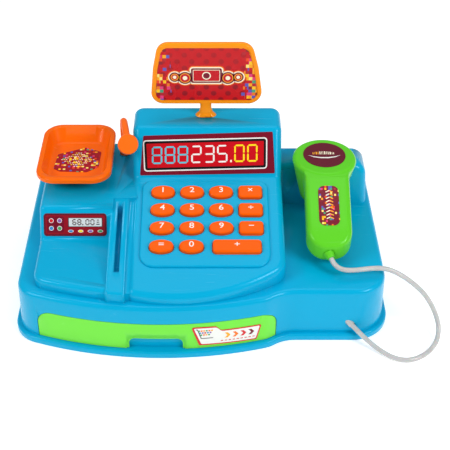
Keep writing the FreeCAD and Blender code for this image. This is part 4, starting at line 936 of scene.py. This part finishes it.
@dataclass
class Casting:
    """A moulded CAD piece: a merged and smoothed copy, which replaces its node."""

    node: str
    finish: Palette
    body: str
    slot: str
    angle: float = 35.0

    def build(self) -> bpy.types.Object:
        """Copy, merge and smooth the node.

        Returns:
            The new piece.
        """
        mesh = bmesh.new()
        mesh.from_mesh(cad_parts[self.node].data)
        bmesh.ops.remove_doubles(mesh, verts=mesh.verts, dist=1e-6)
        bmesh.ops.dissolve_limit(mesh, angle_limit=math.radians(0.3), verts=mesh.verts, edges=mesh.edges)
        piece = as_piece(self.node + "_moulded", mesh, [self.finish], self.body, self.angle)
        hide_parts(self.node)
        LOG.info("%s: %d faces", piece.name, len(piece.data.polygons))
        return piece


def dress(node: str, finish: Palette | Finish) -> None:
    """Give a CAD node its finish.

    Args:
        node: The node's name.
        finish: The finish.
    """
    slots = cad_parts[node].data.materials
    slots.clear()
    slots.append((finish.value if isinstance(finish, Palette) else finish).material())


# ---------------------------------------------------------------- sub-assemblies


@dataclass
class Housing:
    """The blue housing, its bottom plate and what is screwed inside it."""

    steel: tuple[str, ...] = (
        "battery_contact_springs", "battery_contact_plates", "battery_door_screw", "housing_screws",
        "scale_spring")

    def build(self) -> None:
        """Build the shells and dress the inner pieces."""
        for node in ("upper_housing", "lower_housing", "battery_door"):
            Casting(node, Palette.HOUSING, "register", "blue_plastic").build()
        for node in self.steel:
            dress(node, Palette.STEEL)
        dress("battery_cell_front", Palette.CELL_FRONT)
        dress("battery_cell_rear", Palette.CELL_REAR)
        dress("keypad_mat", Palette.MAT)
        dress("keypad_circuit_board", Palette.BOARD)
        dress("speaker", Palette.SPEAKER)
        dress("cord_stopper", Palette.CORD)


@dataclass
class Display:
    """The printed film on the display face, with its bar digits."""

    lean: float = 57.0
    film: float = 0.3 * MM
    climb: float = 0.025
    digit_size: tuple[float, float] = (8.6, 14.4)
    stroke: float = 1.35
    digit_pitch: float = 10.65
    digit_drop: float = 0.4
    groups: tuple[tuple[str, Palette, float], ...] = (
        ("888", Palette.CYAN, -41.6), ("235", Palette.WHITE, -9.2), (".", Palette.CREAM, 22.9),
        ("00", Palette.YELLOW, 26.2))
    frame_left: float = -49.0
    frame_right: float = 53.4
    frame_foot: float = -13.6
    frame_top: float = 12.2
    frame_taper: float = 0.9
    frame_lines: tuple[tuple[float, float, Palette, int], ...] = (
        (0.0, 2.6, Palette.WHITE, 1), (1.0, 1.9, Palette.BLACK, 2), (2.9, 0.6, Palette.RED, 3))

    def build(self) -> None:
        """Build the frame lines, the field and the digits."""
        dress("display_label", Palette.MAROON)
        ground = Ground.on_sheet("display_label", self.lean, self.film)
        middle = (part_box("display_label")[0].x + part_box("display_label")[1].x) / 2.0 / MM
        art = Artwork()
        for inset, radius, ink, level in self.frame_lines:
            left, right = self.frame_left - middle + inset, self.frame_right - middle - inset
            foot, top = self.frame_foot + inset, self.frame_top - inset
            corners = ((left + self.frame_taper, foot), (right, foot), (right, top), (left, top))
            art.plate([(x, y + self.climb * x) for x, y in corners], radius, ink, level)
        width, height = self.digit_size
        foot_line = -(height / 2.0) - self.digit_drop
        for signs, ink, start in self.groups:
            for i, sign in enumerate(signs):
                x = start + i * self.digit_pitch - middle
                y = foot_line + self.climb * x
                art.digit(sign, x, y, width, height, self.stroke, ink, 4, self.climb)
        art.finish("display_artwork", ground, "register", "display_print")


@dataclass
class KeyPad:
    """The orange keys and their white legends."""

    lean: float = 14.036
    names: tuple[tuple[str, str], ...] = (
        ("1", "1"), ("2", "2"), ("3", "3"), ("multiply", "×"), ("4", "4"), ("5", "5"), ("6", "6"),
        ("divide", "÷"), ("7", "7"), ("8", "8"), ("9", "9"), ("minus", "−"), ("equals", "="), ("0", "0"),
        ("plus", "+"))
    size: float = 7.4 * MM
    boldness: float = 0.02 * MM
    back_shift: float = 1.2 * MM
    stretch: float = 1.15
    relief: float = 0.08 * MM

    def build(self) -> None:
        """Build every key and its legend."""
        turn = Matrix.Rotation(math.radians(self.lean), 4, "X")
        for name, sign in self.names:
            node, body = "key_" + name, "button_" + name
            Casting(node, Palette.KEYS, body, "orange_plastic", angle=40.0).build()
            points = [turn.inverted() @ v.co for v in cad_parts[node].data.vertices]
            top = max(p.z for p in points)
            rim = [p for p in points if p.z > top - 0.01 * MM]
            x = (min(p.x for p in rim) + max(p.x for p in rim)) / 2.0
            y = (min(p.y for p in rim) + max(p.y for p in rim)) / 2.0
            legend = glyph(sign, self.size, self.boldness)
            raise_flat(legend, -self.relief, self.relief)
            place = turn @ Matrix.Translation((x, y + self.back_shift, top))
            widen = Matrix.Scale(self.stretch, 4, (1.0, 0.0, 0.0))
            bmesh.ops.transform(legend, matrix=place @ widen, verts=legend.verts)
            as_piece("legend_" + name, legend, [Palette.LEGEND], body, 20.0)
        LOG.info("keypad: %d keys", len(self.names))


@dataclass
class ScalePanel:
    """The printed panel of the scale: a small screen, four lamps and four buttons."""

    lean: float = 58.67
    film: float = 0.3 * MM
    figures_left: float = -2.2
    figure_pitch: float = 4.0
    point_gap: float = 1.5
    lamps_x: float = -15.8
    lamps_y: float = 0.2
    button_pitch: float = 7.9

    def build(self) -> None:
        """Build the panel's artwork."""
        dress("scale_label", Palette.DEEP_MAROON)
        ground = Ground.on_sheet("scale_label", self.lean, self.film)
        art = Artwork()
        art.block(0.0, 0.0, 47.6, 15.6, 1.8, Palette.CRIMSON, 1)
        art.block(self.lamps_x, self.lamps_y, 13.6, 13.0, 1.4, Palette.MAROON, 2)
        lamps = ((-3.3, 3.1, Palette.BRIGHT_RED), (3.3, 3.1, Palette.VIOLET), (-3.3, -3.1, Palette.BLUE),
                 (3.3, -3.1, Palette.GREEN))
        for x, y, ink in lamps:
            art.disc(x + self.lamps_x, y + self.lamps_y, 1.9, Palette.WHITE, 3)
            art.disc(x + self.lamps_x, y + self.lamps_y, 1.5, ink, 4)
        art.block(8.2, 2.0, 27.6, 7.6, 0.6, Palette.GREY, 2)
        art.block(8.2, 2.0, 26.4, 6.6, 0.4, Palette.SCREEN, 3)
        for i, sign in enumerate("68.00"):
            x = self.figures_left + i * self.figure_pitch - (self.point_gap if i > 2 else 0.0)
            art.digit(sign, x, -0.4, 3.3, 5.0, 0.8, Palette.SCREEN_INK, 4)
        for i in range(3):
            art.block(18.4, 0.4 + i * 1.7, 2.6 - 0.6 * i, 0.7, 0.0, Palette.BLACK, 4)
        for i, ink in enumerate((Palette.BLUE, Palette.YELLOW, Palette.VIOLET, Palette.GREEN)):
            x = -3.5 + i * self.button_pitch
            art.disc(x, -5.2, 1.15, Palette.WHITE, 2, stretch=1.9)
            art.disc(x, -5.2, 0.9, ink, 3, stretch=1.9)
        art.finish("scale_artwork", ground, "register", "scale_print")


@dataclass
class Drawer:
    """The green cash drawer and the tag on its front."""

    layer: float = 0.05 * MM
    long_edge: float = 4.0 * MM
    stand_off: float = 10.0 * MM
    outline: tuple[tuple[float, float], ...] = (
        (-0.6, 10.7), (42.0, 10.0), (45.0, 22.6), (15.3, 22.6), (11.2, 26.9), (-6.4, 27.2))
    goods: tuple[Palette, ...] = (
        Palette.GREEN, Palette.RED, Palette.ORANGE, Palette.BLUE, Palette.AMBER, Palette.VIOLET)
    arrows: tuple[Palette, ...] = (Palette.AMBER, Palette.ORANGE, Palette.BRIGHT_RED, Palette.MAROON)
    arrows_left: float = 17.5
    arrow_pitch: float = 6.2

    def build(self) -> None:
        """Build the drawer and its tag."""
        Casting("cash_drawer", Palette.DRAWER, "drawer", "green_plastic").build()
        dress("drawer_label", Palette.BRIGHT_RED)
        self.tag()

    def tag(self) -> None:
        """Lay the tag's artwork on the drawer's curved front."""
        art = Artwork(self.layer)
        art.plate(self.outline, 1.2, Palette.WHITE, 1)
        self.trolley(art)
        for i, ink in enumerate(self.arrows):
            x = self.arrows_left + i * self.arrow_pitch
            corners = [(x, 15.2), (x + 2.4, 15.2), (x + 4.6, 17.9),
                       (x + 2.4, 20.6), (x, 20.6), (x + 2.2, 17.9)]
            art.plate(corners, 0.0, ink, 2)
        for i in range(9):
            art.block(15.5 + i * 3.1, 12.6, 1.9, 0.8, 0.2, Palette.BRIGHT_RED, 2)
        self.wrap(art.mesh)
        art.finish("drawer_tag_artwork", None, "drawer", "drawer_print")

    def trolley(self, art: Artwork) -> None:
        """Add a shopping trolley with coloured goods in it."""
        for row in range(3):
            for column in range(6 - row):
                x = -2.4 + row * 0.9 + column * 2.0
                tint = self.goods[(column * 2 + row * 3) % len(self.goods)]
                art.block(x, 24.4 - row * 2.1, 1.5, 1.5, 0.3, tint, 2)
        art.bar((-4.9, 25.9), (-3.4, 25.9), 0.7, Palette.GREY, 2, pointed=False)
        art.bar((-3.6, 26.1), (-0.6, 16.6), 0.7, Palette.GREY, 2, pointed=False)
        art.bar((-0.6, 16.6), (8.6, 16.6), 0.7, Palette.GREY, 2, pointed=False)
        for x in (1.2, 7.0):
            art.ring(x, 13.6, 1.7, 0.55, Palette.GREY, 2)

    def wrap(self, mesh: bmesh.types.BMesh) -> None:
        """Stand the flat artwork up and bend it onto the tag's curved sheet.

        Args:
            mesh: The artwork's mesh.
        """
        bmesh.ops.triangulate(mesh, faces=mesh.faces)
        for _ in range(2):
            long_edges = [e for e in mesh.edges if abs(e.verts[0].co.x - e.verts[1].co.x) > self.long_edge]
            bmesh.ops.subdivide_edges(mesh, edges=long_edges, cuts=2, use_grid_fill=False)
            bmesh.ops.triangulate(mesh, faces=mesh.faces)
        upright = Matrix.Rotation(math.radians(90.0), 4, "X")
        bmesh.ops.transform(mesh, matrix=upright, verts=mesh.verts)
        skin = bmesh.new()
        skin.from_mesh(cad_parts["drawer_label"].data)
        tree = BVHTree.FromBMesh(skin)
        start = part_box("drawer_label")[0].y - self.stand_off
        for vert in mesh.verts:
            before = Vector((vert.co.x, start, vert.co.z))
            hit = tree.ray_cast(before, Vector((0.0, 1.0, 0.0)))[0]
            vert.co.y += (hit or tree.find_nearest(before)[0]).y
        skin.free()


@dataclass
class ScalePan:
    """The orange weighing pan and the print in its bottom."""

    film: float = 0.3 * MM
    dot_pitch: float = 1.9
    row_pitch: float = 2.4
    half_width: float = 14.0
    half_depth: float = 11.5
    bare_ring: tuple[float, float] = (0.42, 0.55)

    def build(self) -> None:
        """Build the pan and its print."""
        Casting("scale_pan", Palette.PAN, "scale", "orange_plastic").build()
        dress("scale_pan_label", Palette.PAN_PRINT)
        ground = Ground.on_sheet("scale_pan_label", 0.0, self.film)
        art = Artwork()
        for row in range(-4, 5):
            for column in range(-7, 8):
                x = column * self.dot_pitch + (row % 2) * self.dot_pitch / 2.0
                y = row * self.row_pitch
                reach = abs(x) / self.half_width + abs(y) / self.half_depth
                if reach > 1.0 or self.bare_ring[0] < reach < self.bare_ring[1]:
                    continue
                ink = Palette.CREAM if (row + column) % 3 else Palette.YELLOW
                art.disc(x, y, 0.5, ink, 1, 1.4, 8)
        art.finish("pan_artwork", ground, "scale", "pan_print")


@dataclass
class Sign:
    """The swivelling sign: an orange frame round a printed board."""

    coin: float = 5.6
    coins_from: float = 17.4
    coin_pitch: float = 8.4
    note_y: float = -1.0
    note_rims: tuple[tuple[float, Palette, int], ...] = (
        (2.0, Palette.ORANGE, 1), (1.1, Palette.CREAM, 2), (0.0, Palette.MAROON, 3))
    coin_rims: tuple[tuple[float, Palette, int], ...] = (
        (1.6, Palette.ORANGE, 1), (0.9, Palette.CREAM, 2), (0.0, Palette.MAROON, 3),
        (-1.2, Palette.AMBER, 4), (-1.8, Palette.RED, 5))

    def build(self) -> None:
        """Build the sign's frame and its print."""
        Casting("sign_board", Palette.SIGN_FRAME, "sign", "orange_plastic").build()
        low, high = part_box("sign_label")
        centre = (low + high) / 2.0
        half_width = (high.x - low.x) / 2.0
        dress("sign_label", SignPrint("sign_ground", "C8000F", centre=tuple(centre), half_width=half_width))
        ground = Ground(Vector((centre.x, low.y, centre.z)), 90.0)
        art = Artwork()
        self.note(art)
        for side in (-1.0, 1.0):
            self.coins(art, side)
        art.finish("sign_artwork", ground, "sign", "sign_print")

    def note(self, art: Artwork) -> None:
        """Add the banknote in the middle."""
        y = self.note_y
        for grow, ink, level in self.note_rims:
            art.block(0.0, y, 25.0 + 2 * grow, 13.6 + 2 * grow, 1.6 + grow, ink, level)
        art.block(0.0, y, 22.0, 10.8, 0.8, Palette.CREAM, 4)
        art.block(0.0, y, 21.0, 9.8, 0.6, Palette.RED, 5)
        art.disc(0.0, y, 3.6, Palette.CREAM, 6)
        art.disc(0.0, y, 2.7, Palette.MAROON, 7)
        for x in (-7.4, 7.4):
            art.ring(x, y, 1.5, 0.5, Palette.CREAM, 6)

    def coins(self, art: Artwork, side: float) -> None:
        """Add the two coins on one side of the banknote.

        Args:
            art: The sign's artwork.
            side: -1 for the left side and 1 for the right.
        """
        for i in range(2):
            x, y = side * (self.coins_from + i * self.coin_pitch), -3.2 + i * 0.8
            r = self.coin - i * 1.2
            for grow, ink, level in self.coin_rims:
                art.disc(x, y, r + grow, ink, level)
            art.disc(x, y, r * 0.34, Palette.CREAM, 6)


@dataclass
class Microphone:
    """The bent orange microphone on its swivelling stalk."""

    def build(self) -> None:
        """Build the stalk and the slotted grille."""
        Casting("microphone_stalk", Palette.MICROPHONE, "microphone", "orange_plastic").build()
        Casting("microphone_grille", Palette.MICROPHONE, "microphone", "orange_plastic").build()


@dataclass
class Scanner:
    """The green hand scanner, its trigger and its stickers."""

    grip_lean: float = 29.6
    film: float = 0.3 * MM
    bar_widths: tuple[float, ...] = (0.7, 0.4, 1.1, 0.5, 0.8, 0.4, 0.4, 1.0, 0.5, 0.7, 1.2, 0.4, 0.6)
    bars_left: float = -9.5
    bar_gap: float = 0.75
    swoosh: tuple[tuple[float, float], ...] = (
        (-13.5, -0.4), (-9.0, -3.4), (-3.0, -4.9), (3.0, -4.9), (9.0, -3.4), (13.5, -0.4),
        (9.0, -2.2), (3.0, -3.4), (-3.0, -3.4), (-9.0, -2.2))
    zigzag_pitch: float = 2.85
    zigzag_foot: float = -11.4
    zigzag_rise: float = 1.6
    zigzag_width: float = 0.8

    def build(self) -> None:
        """Build the shells, the trigger and the prints."""
        for node in ("scanner_upper_shell", "scanner_lower_shell"):
            Casting(node, Palette.SCANNER, "scanner", "green_plastic").build()
        Casting("scanner_trigger", Palette.KEYS, "trigger", "orange_plastic").build()
        dress("scanner_lens", Palette.WINDOW)
        dress("scanner_lamp", Palette.BOARD)
        dress("scanner_circuit_board", Palette.BOARD)
        dress("scanner_trigger_switch", Palette.SPEAKER)
        dress("scanner_screws", Palette.STEEL)
        self.head_print()
        self.grip_print()

    def head_print(self) -> None:
        """Add the bars and the swoosh on the round sticker."""
        dress("scanner_head_label", Palette.DEEP_MAROON)
        art = Artwork()
        x = self.bars_left
        for i, width in enumerate(self.bar_widths):
            rise = 2.6 + 1.6 * math.sin(math.pi * (i + 0.5) / len(self.bar_widths))
            ink = Palette.AMBER if i < 4 else Palette.CREAM
            art.block(x + width / 2.0, 0.6 + rise / 2.0, width, rise, 0.0, ink, 1)
            x += width + self.bar_gap
        art.plate(self.swoosh, 0.0, Palette.WHITE, 1)
        ground = Ground.on_sheet("scanner_head_label", 0.0, self.film)
        art.finish("scanner_head_artwork", ground, "scanner", "scanner_print")

    def grip_print(self) -> None:
        """Add the zigzag column on the long sticker."""
        dress("scanner_grip_label", Palette.GRIP_PRINT)
        art = Artwork()
        for i in range(9):
            y = self.zigzag_foot + i * self.zigzag_pitch
            top = y + self.zigzag_rise
            art.bar((-2.4, y), (0.8, top), self.zigzag_width, Palette.CREAM, 1)
            art.bar((0.4, top), (3.6, y), self.zigzag_width, Palette.AMBER, 1)
        ground = Ground.on_sheet("scanner_grip_label", self.grip_lean, self.film)
        art.finish("scanner_grip_artwork", ground, "scanner", "scanner_print")


@dataclass
class Cord:
    """The scanner's lead, from the grip's nub round to the hole in the front wall."""

    radius: float = 1.95 * MM
    length: float = 0.2173
    held_above: float = 0.0585
    loose_below: float = 0.018
    route: tuple[tuple[float, float, float], ...] = (
        (0.1012, -0.043, 0.06), (0.1034, -0.0488, 0.0576), (0.1105, -0.0528, 0.0562),
        (0.121, -0.0518, 0.0556), (0.132, -0.0496, 0.0556), (0.1435, -0.049, 0.0552),
        (0.154, -0.0506, 0.0512), (0.165, -0.053, 0.044), (0.176, -0.0555, 0.034),
        (0.1845, -0.0585, 0.0205), (0.189, -0.065, 0.0095), (0.1875, -0.0745, 0.0034),
        (0.1815, -0.0845, 0.0023), (0.172, -0.0935, 0.0023), (0.1605, -0.0978, 0.0023),
        (0.15, -0.0955, 0.0024), (0.141, -0.089, 0.003), (0.133, -0.082, 0.0052),
        (0.1255, -0.076, 0.0092), (0.1186, -0.0703, 0.014))

    def curve(self) -> bpy.types.Curve:
        """Make the route one smooth spline, with no thickness.

        Returns:
            The curve.
        """
        curve = bpy.data.curves.new("scanner_lead", "CURVE")
        curve.dimensions = "3D"
        spline = curve.splines.new("NURBS")
        spline.points.add(len(self.route) - 1)
        for point, place in zip(spline.points, self.route):
            point.co = (*place, 1.0)
        spline.order_u = 3
        spline.use_endpoint_u = True
        curve.resolution_u = 10
        return curve

    def build(self) -> bpy.types.Object:
        """Build the lead as a tube along the spline.

        Returns:
            The cord's object.
        """
        curve = self.curve()
        holder = bpy.data.objects.new("route", curve)
        line = bpy.data.meshes.new_from_object(holder)
        curve.bevel_depth = self.radius
        curve.bevel_resolution = 6
        curve.use_fill_caps = True
        sleeve = bpy.data.meshes.new_from_object(holder)
        tube = bmesh.new()
        tube.from_mesh(sleeve)
        bmesh.ops.remove_doubles(tube, verts=tube.verts, dist=1e-6)
        bmesh.ops.recalc_face_normals(tube, faces=tube.faces)
        bpy.data.objects.remove(holder)
        bpy.data.curves.remove(curve)
        bpy.data.meshes.remove(line)
        bpy.data.meshes.remove(sleeve)
        cord = as_piece("scanner_lead", tube, [Palette.CORD], None, 60.0)
        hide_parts("scanner_cord")
        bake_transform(cord)
        return cord


# ---------------------------------------------------------------- the studio


@dataclass
class Studio:
    """The floor, the lamps and the camera."""

    camera_place: tuple[float, float, float] = (3.8 * MM, -636.0 * MM, 574.0 * MM)
    pitch: float = 51.0
    lens: float = 80.0
    shift: float = 0.04
    floor_glow: float = 0.33
    floor_half: float = 4.0
    world_light: float = 0.32
    aim: tuple[float, float, float] = (0.0, 0.0, 0.05)
    lamps: tuple[tuple[str, tuple[float, float, float], float, float, float], ...] = (
        ("right", (0.75, -0.55, 0.75), 0.45, 6.2, 0.35),
        ("left", (-0.8, -0.45, 0.75), 0.45, 4.8, 0.35),
        ("top", (0.0, 0.3, 1.3), 1.2, 5.5, 1.0),
    )

    def build(self) -> None:
        """Build the floor, the lamps, the world and the camera."""
        self.build_floor()
        for name, place, size, power, depth in self.lamps:
            self.build_lamp(name, place, size, power, depth)
        self.build_world()
        self.build_camera()

    def build_floor(self) -> None:
        """Build the pale floor."""
        mesh = bmesh.new()
        bmesh.ops.create_grid(mesh, x_segments=1, y_segments=1, size=self.floor_half)
        data = bpy.data.meshes.new("floor")
        mesh.to_mesh(data)
        mesh.free()
        pale = bpy.data.materials.new("pale_floor")
        pale.use_nodes = True
        w = Wiring(pale.node_tree)
        shader = w.add("ShaderNodeBsdfPrincipled")
        mottle = w.noise(30.0, 2.0)
        w.feed(shader.inputs["Base Color"], w.mix(mottle, (0.94, 0.94, 0.94, 1.0), (0.96, 0.96, 0.96, 1.0)))
        w.feed(shader.inputs["Roughness"], w.compute("ADD", w.compute("MULTIPLY", mottle, 0.1), 0.8))
        shader.inputs["Emission Color"].default_value = (1.0, 1.0, 1.0, 1.0)
        shader.inputs["Emission Strength"].default_value = self.floor_glow
        shader.inputs["Specular IOR Level"].default_value = 0.1
        output = w.add("ShaderNodeOutputMaterial")
        w.feed(output.inputs["Surface"], shader.outputs[0])
        data.materials.append(pale)
        floor = bpy.data.objects.new("floor", data)
        bpy.context.scene.collection.objects.link(floor)

    def build_lamp(self, name: str, place: tuple[float, float, float], size: float, power: float,
                   depth: float) -> None:
        """Build one soft lamp that looks at the object's middle.

        Args:
            name: The lamp's name.
            place: Where it stands.
            size: Its width.
            power: Its power, in watts.
            depth: Its depth.
        """
        light = bpy.data.lights.new(name, "AREA")
        light.shape = "RECTANGLE"
        light.size = size
        light.size_y = depth
        light.energy = power
        lamp = bpy.data.objects.new(name, light)
        lamp.location = place
        lamp.rotation_euler = (Vector(self.aim) - Vector(place)).to_track_quat("-Z", "Y").to_euler()
        bpy.context.scene.collection.objects.link(lamp)

    def build_world(self) -> None:
        """Build a soft pale world that shows white to the camera."""
        world = bpy.data.worlds.new("studio")
        world.use_nodes = True
        bpy.context.scene.world = world
        w = Wiring(world.node_tree)
        path = w.add("ShaderNodeLightPath")
        seen = w.compute("MAXIMUM", path.outputs["Is Camera Ray"], path.outputs["Is Transmission Ray"])
        plain = w.add("ShaderNodeBackground", {"Color": (0.95, 0.97, 1.0, 1.0), "Strength": self.world_light})
        white = w.add("ShaderNodeBackground", {"Color": (1.0, 1.0, 1.0, 1.0), "Strength": 1.0})
        mixed = w.add("ShaderNodeMixShader", {0: seen})
        w.feed(mixed.inputs[1], plain.outputs[0])
        w.feed(mixed.inputs[2], white.outputs[0])
        output = w.add("ShaderNodeOutputWorld")
        w.feed(output.inputs["Surface"], mixed.outputs[0])

    def build_camera(self) -> None:
        """Build the camera."""
        data = bpy.data.cameras.new("camera")
        data.lens = self.lens
        data.sensor_width = 36.0
        data.shift_x = self.shift
        camera = bpy.data.objects.new("camera", data)
        camera.location = self.camera_place
        camera.rotation_euler = (math.radians(self.pitch), 0.0, 0.0)
        bpy.context.scene.collection.objects.link(camera)
        bpy.context.scene.camera = camera
        bpy.context.scene.view_settings.view_transform = "Standard"


def main() -> None:
    """Build every sub-assembly in order."""
    logging.basicConfig(level=logging.INFO, format="%(message)s")
    assemblies = (
        Studio(), Cord(), Housing(), Display(), KeyPad(), ScalePanel(), Drawer(), ScalePan(), Sign(),
        Microphone(), Scanner())
    for assembly in assemblies:
        assembly.build()
        LOG.info("built %s", type(assembly).__name__)


if __name__ == "__main__":
    main()
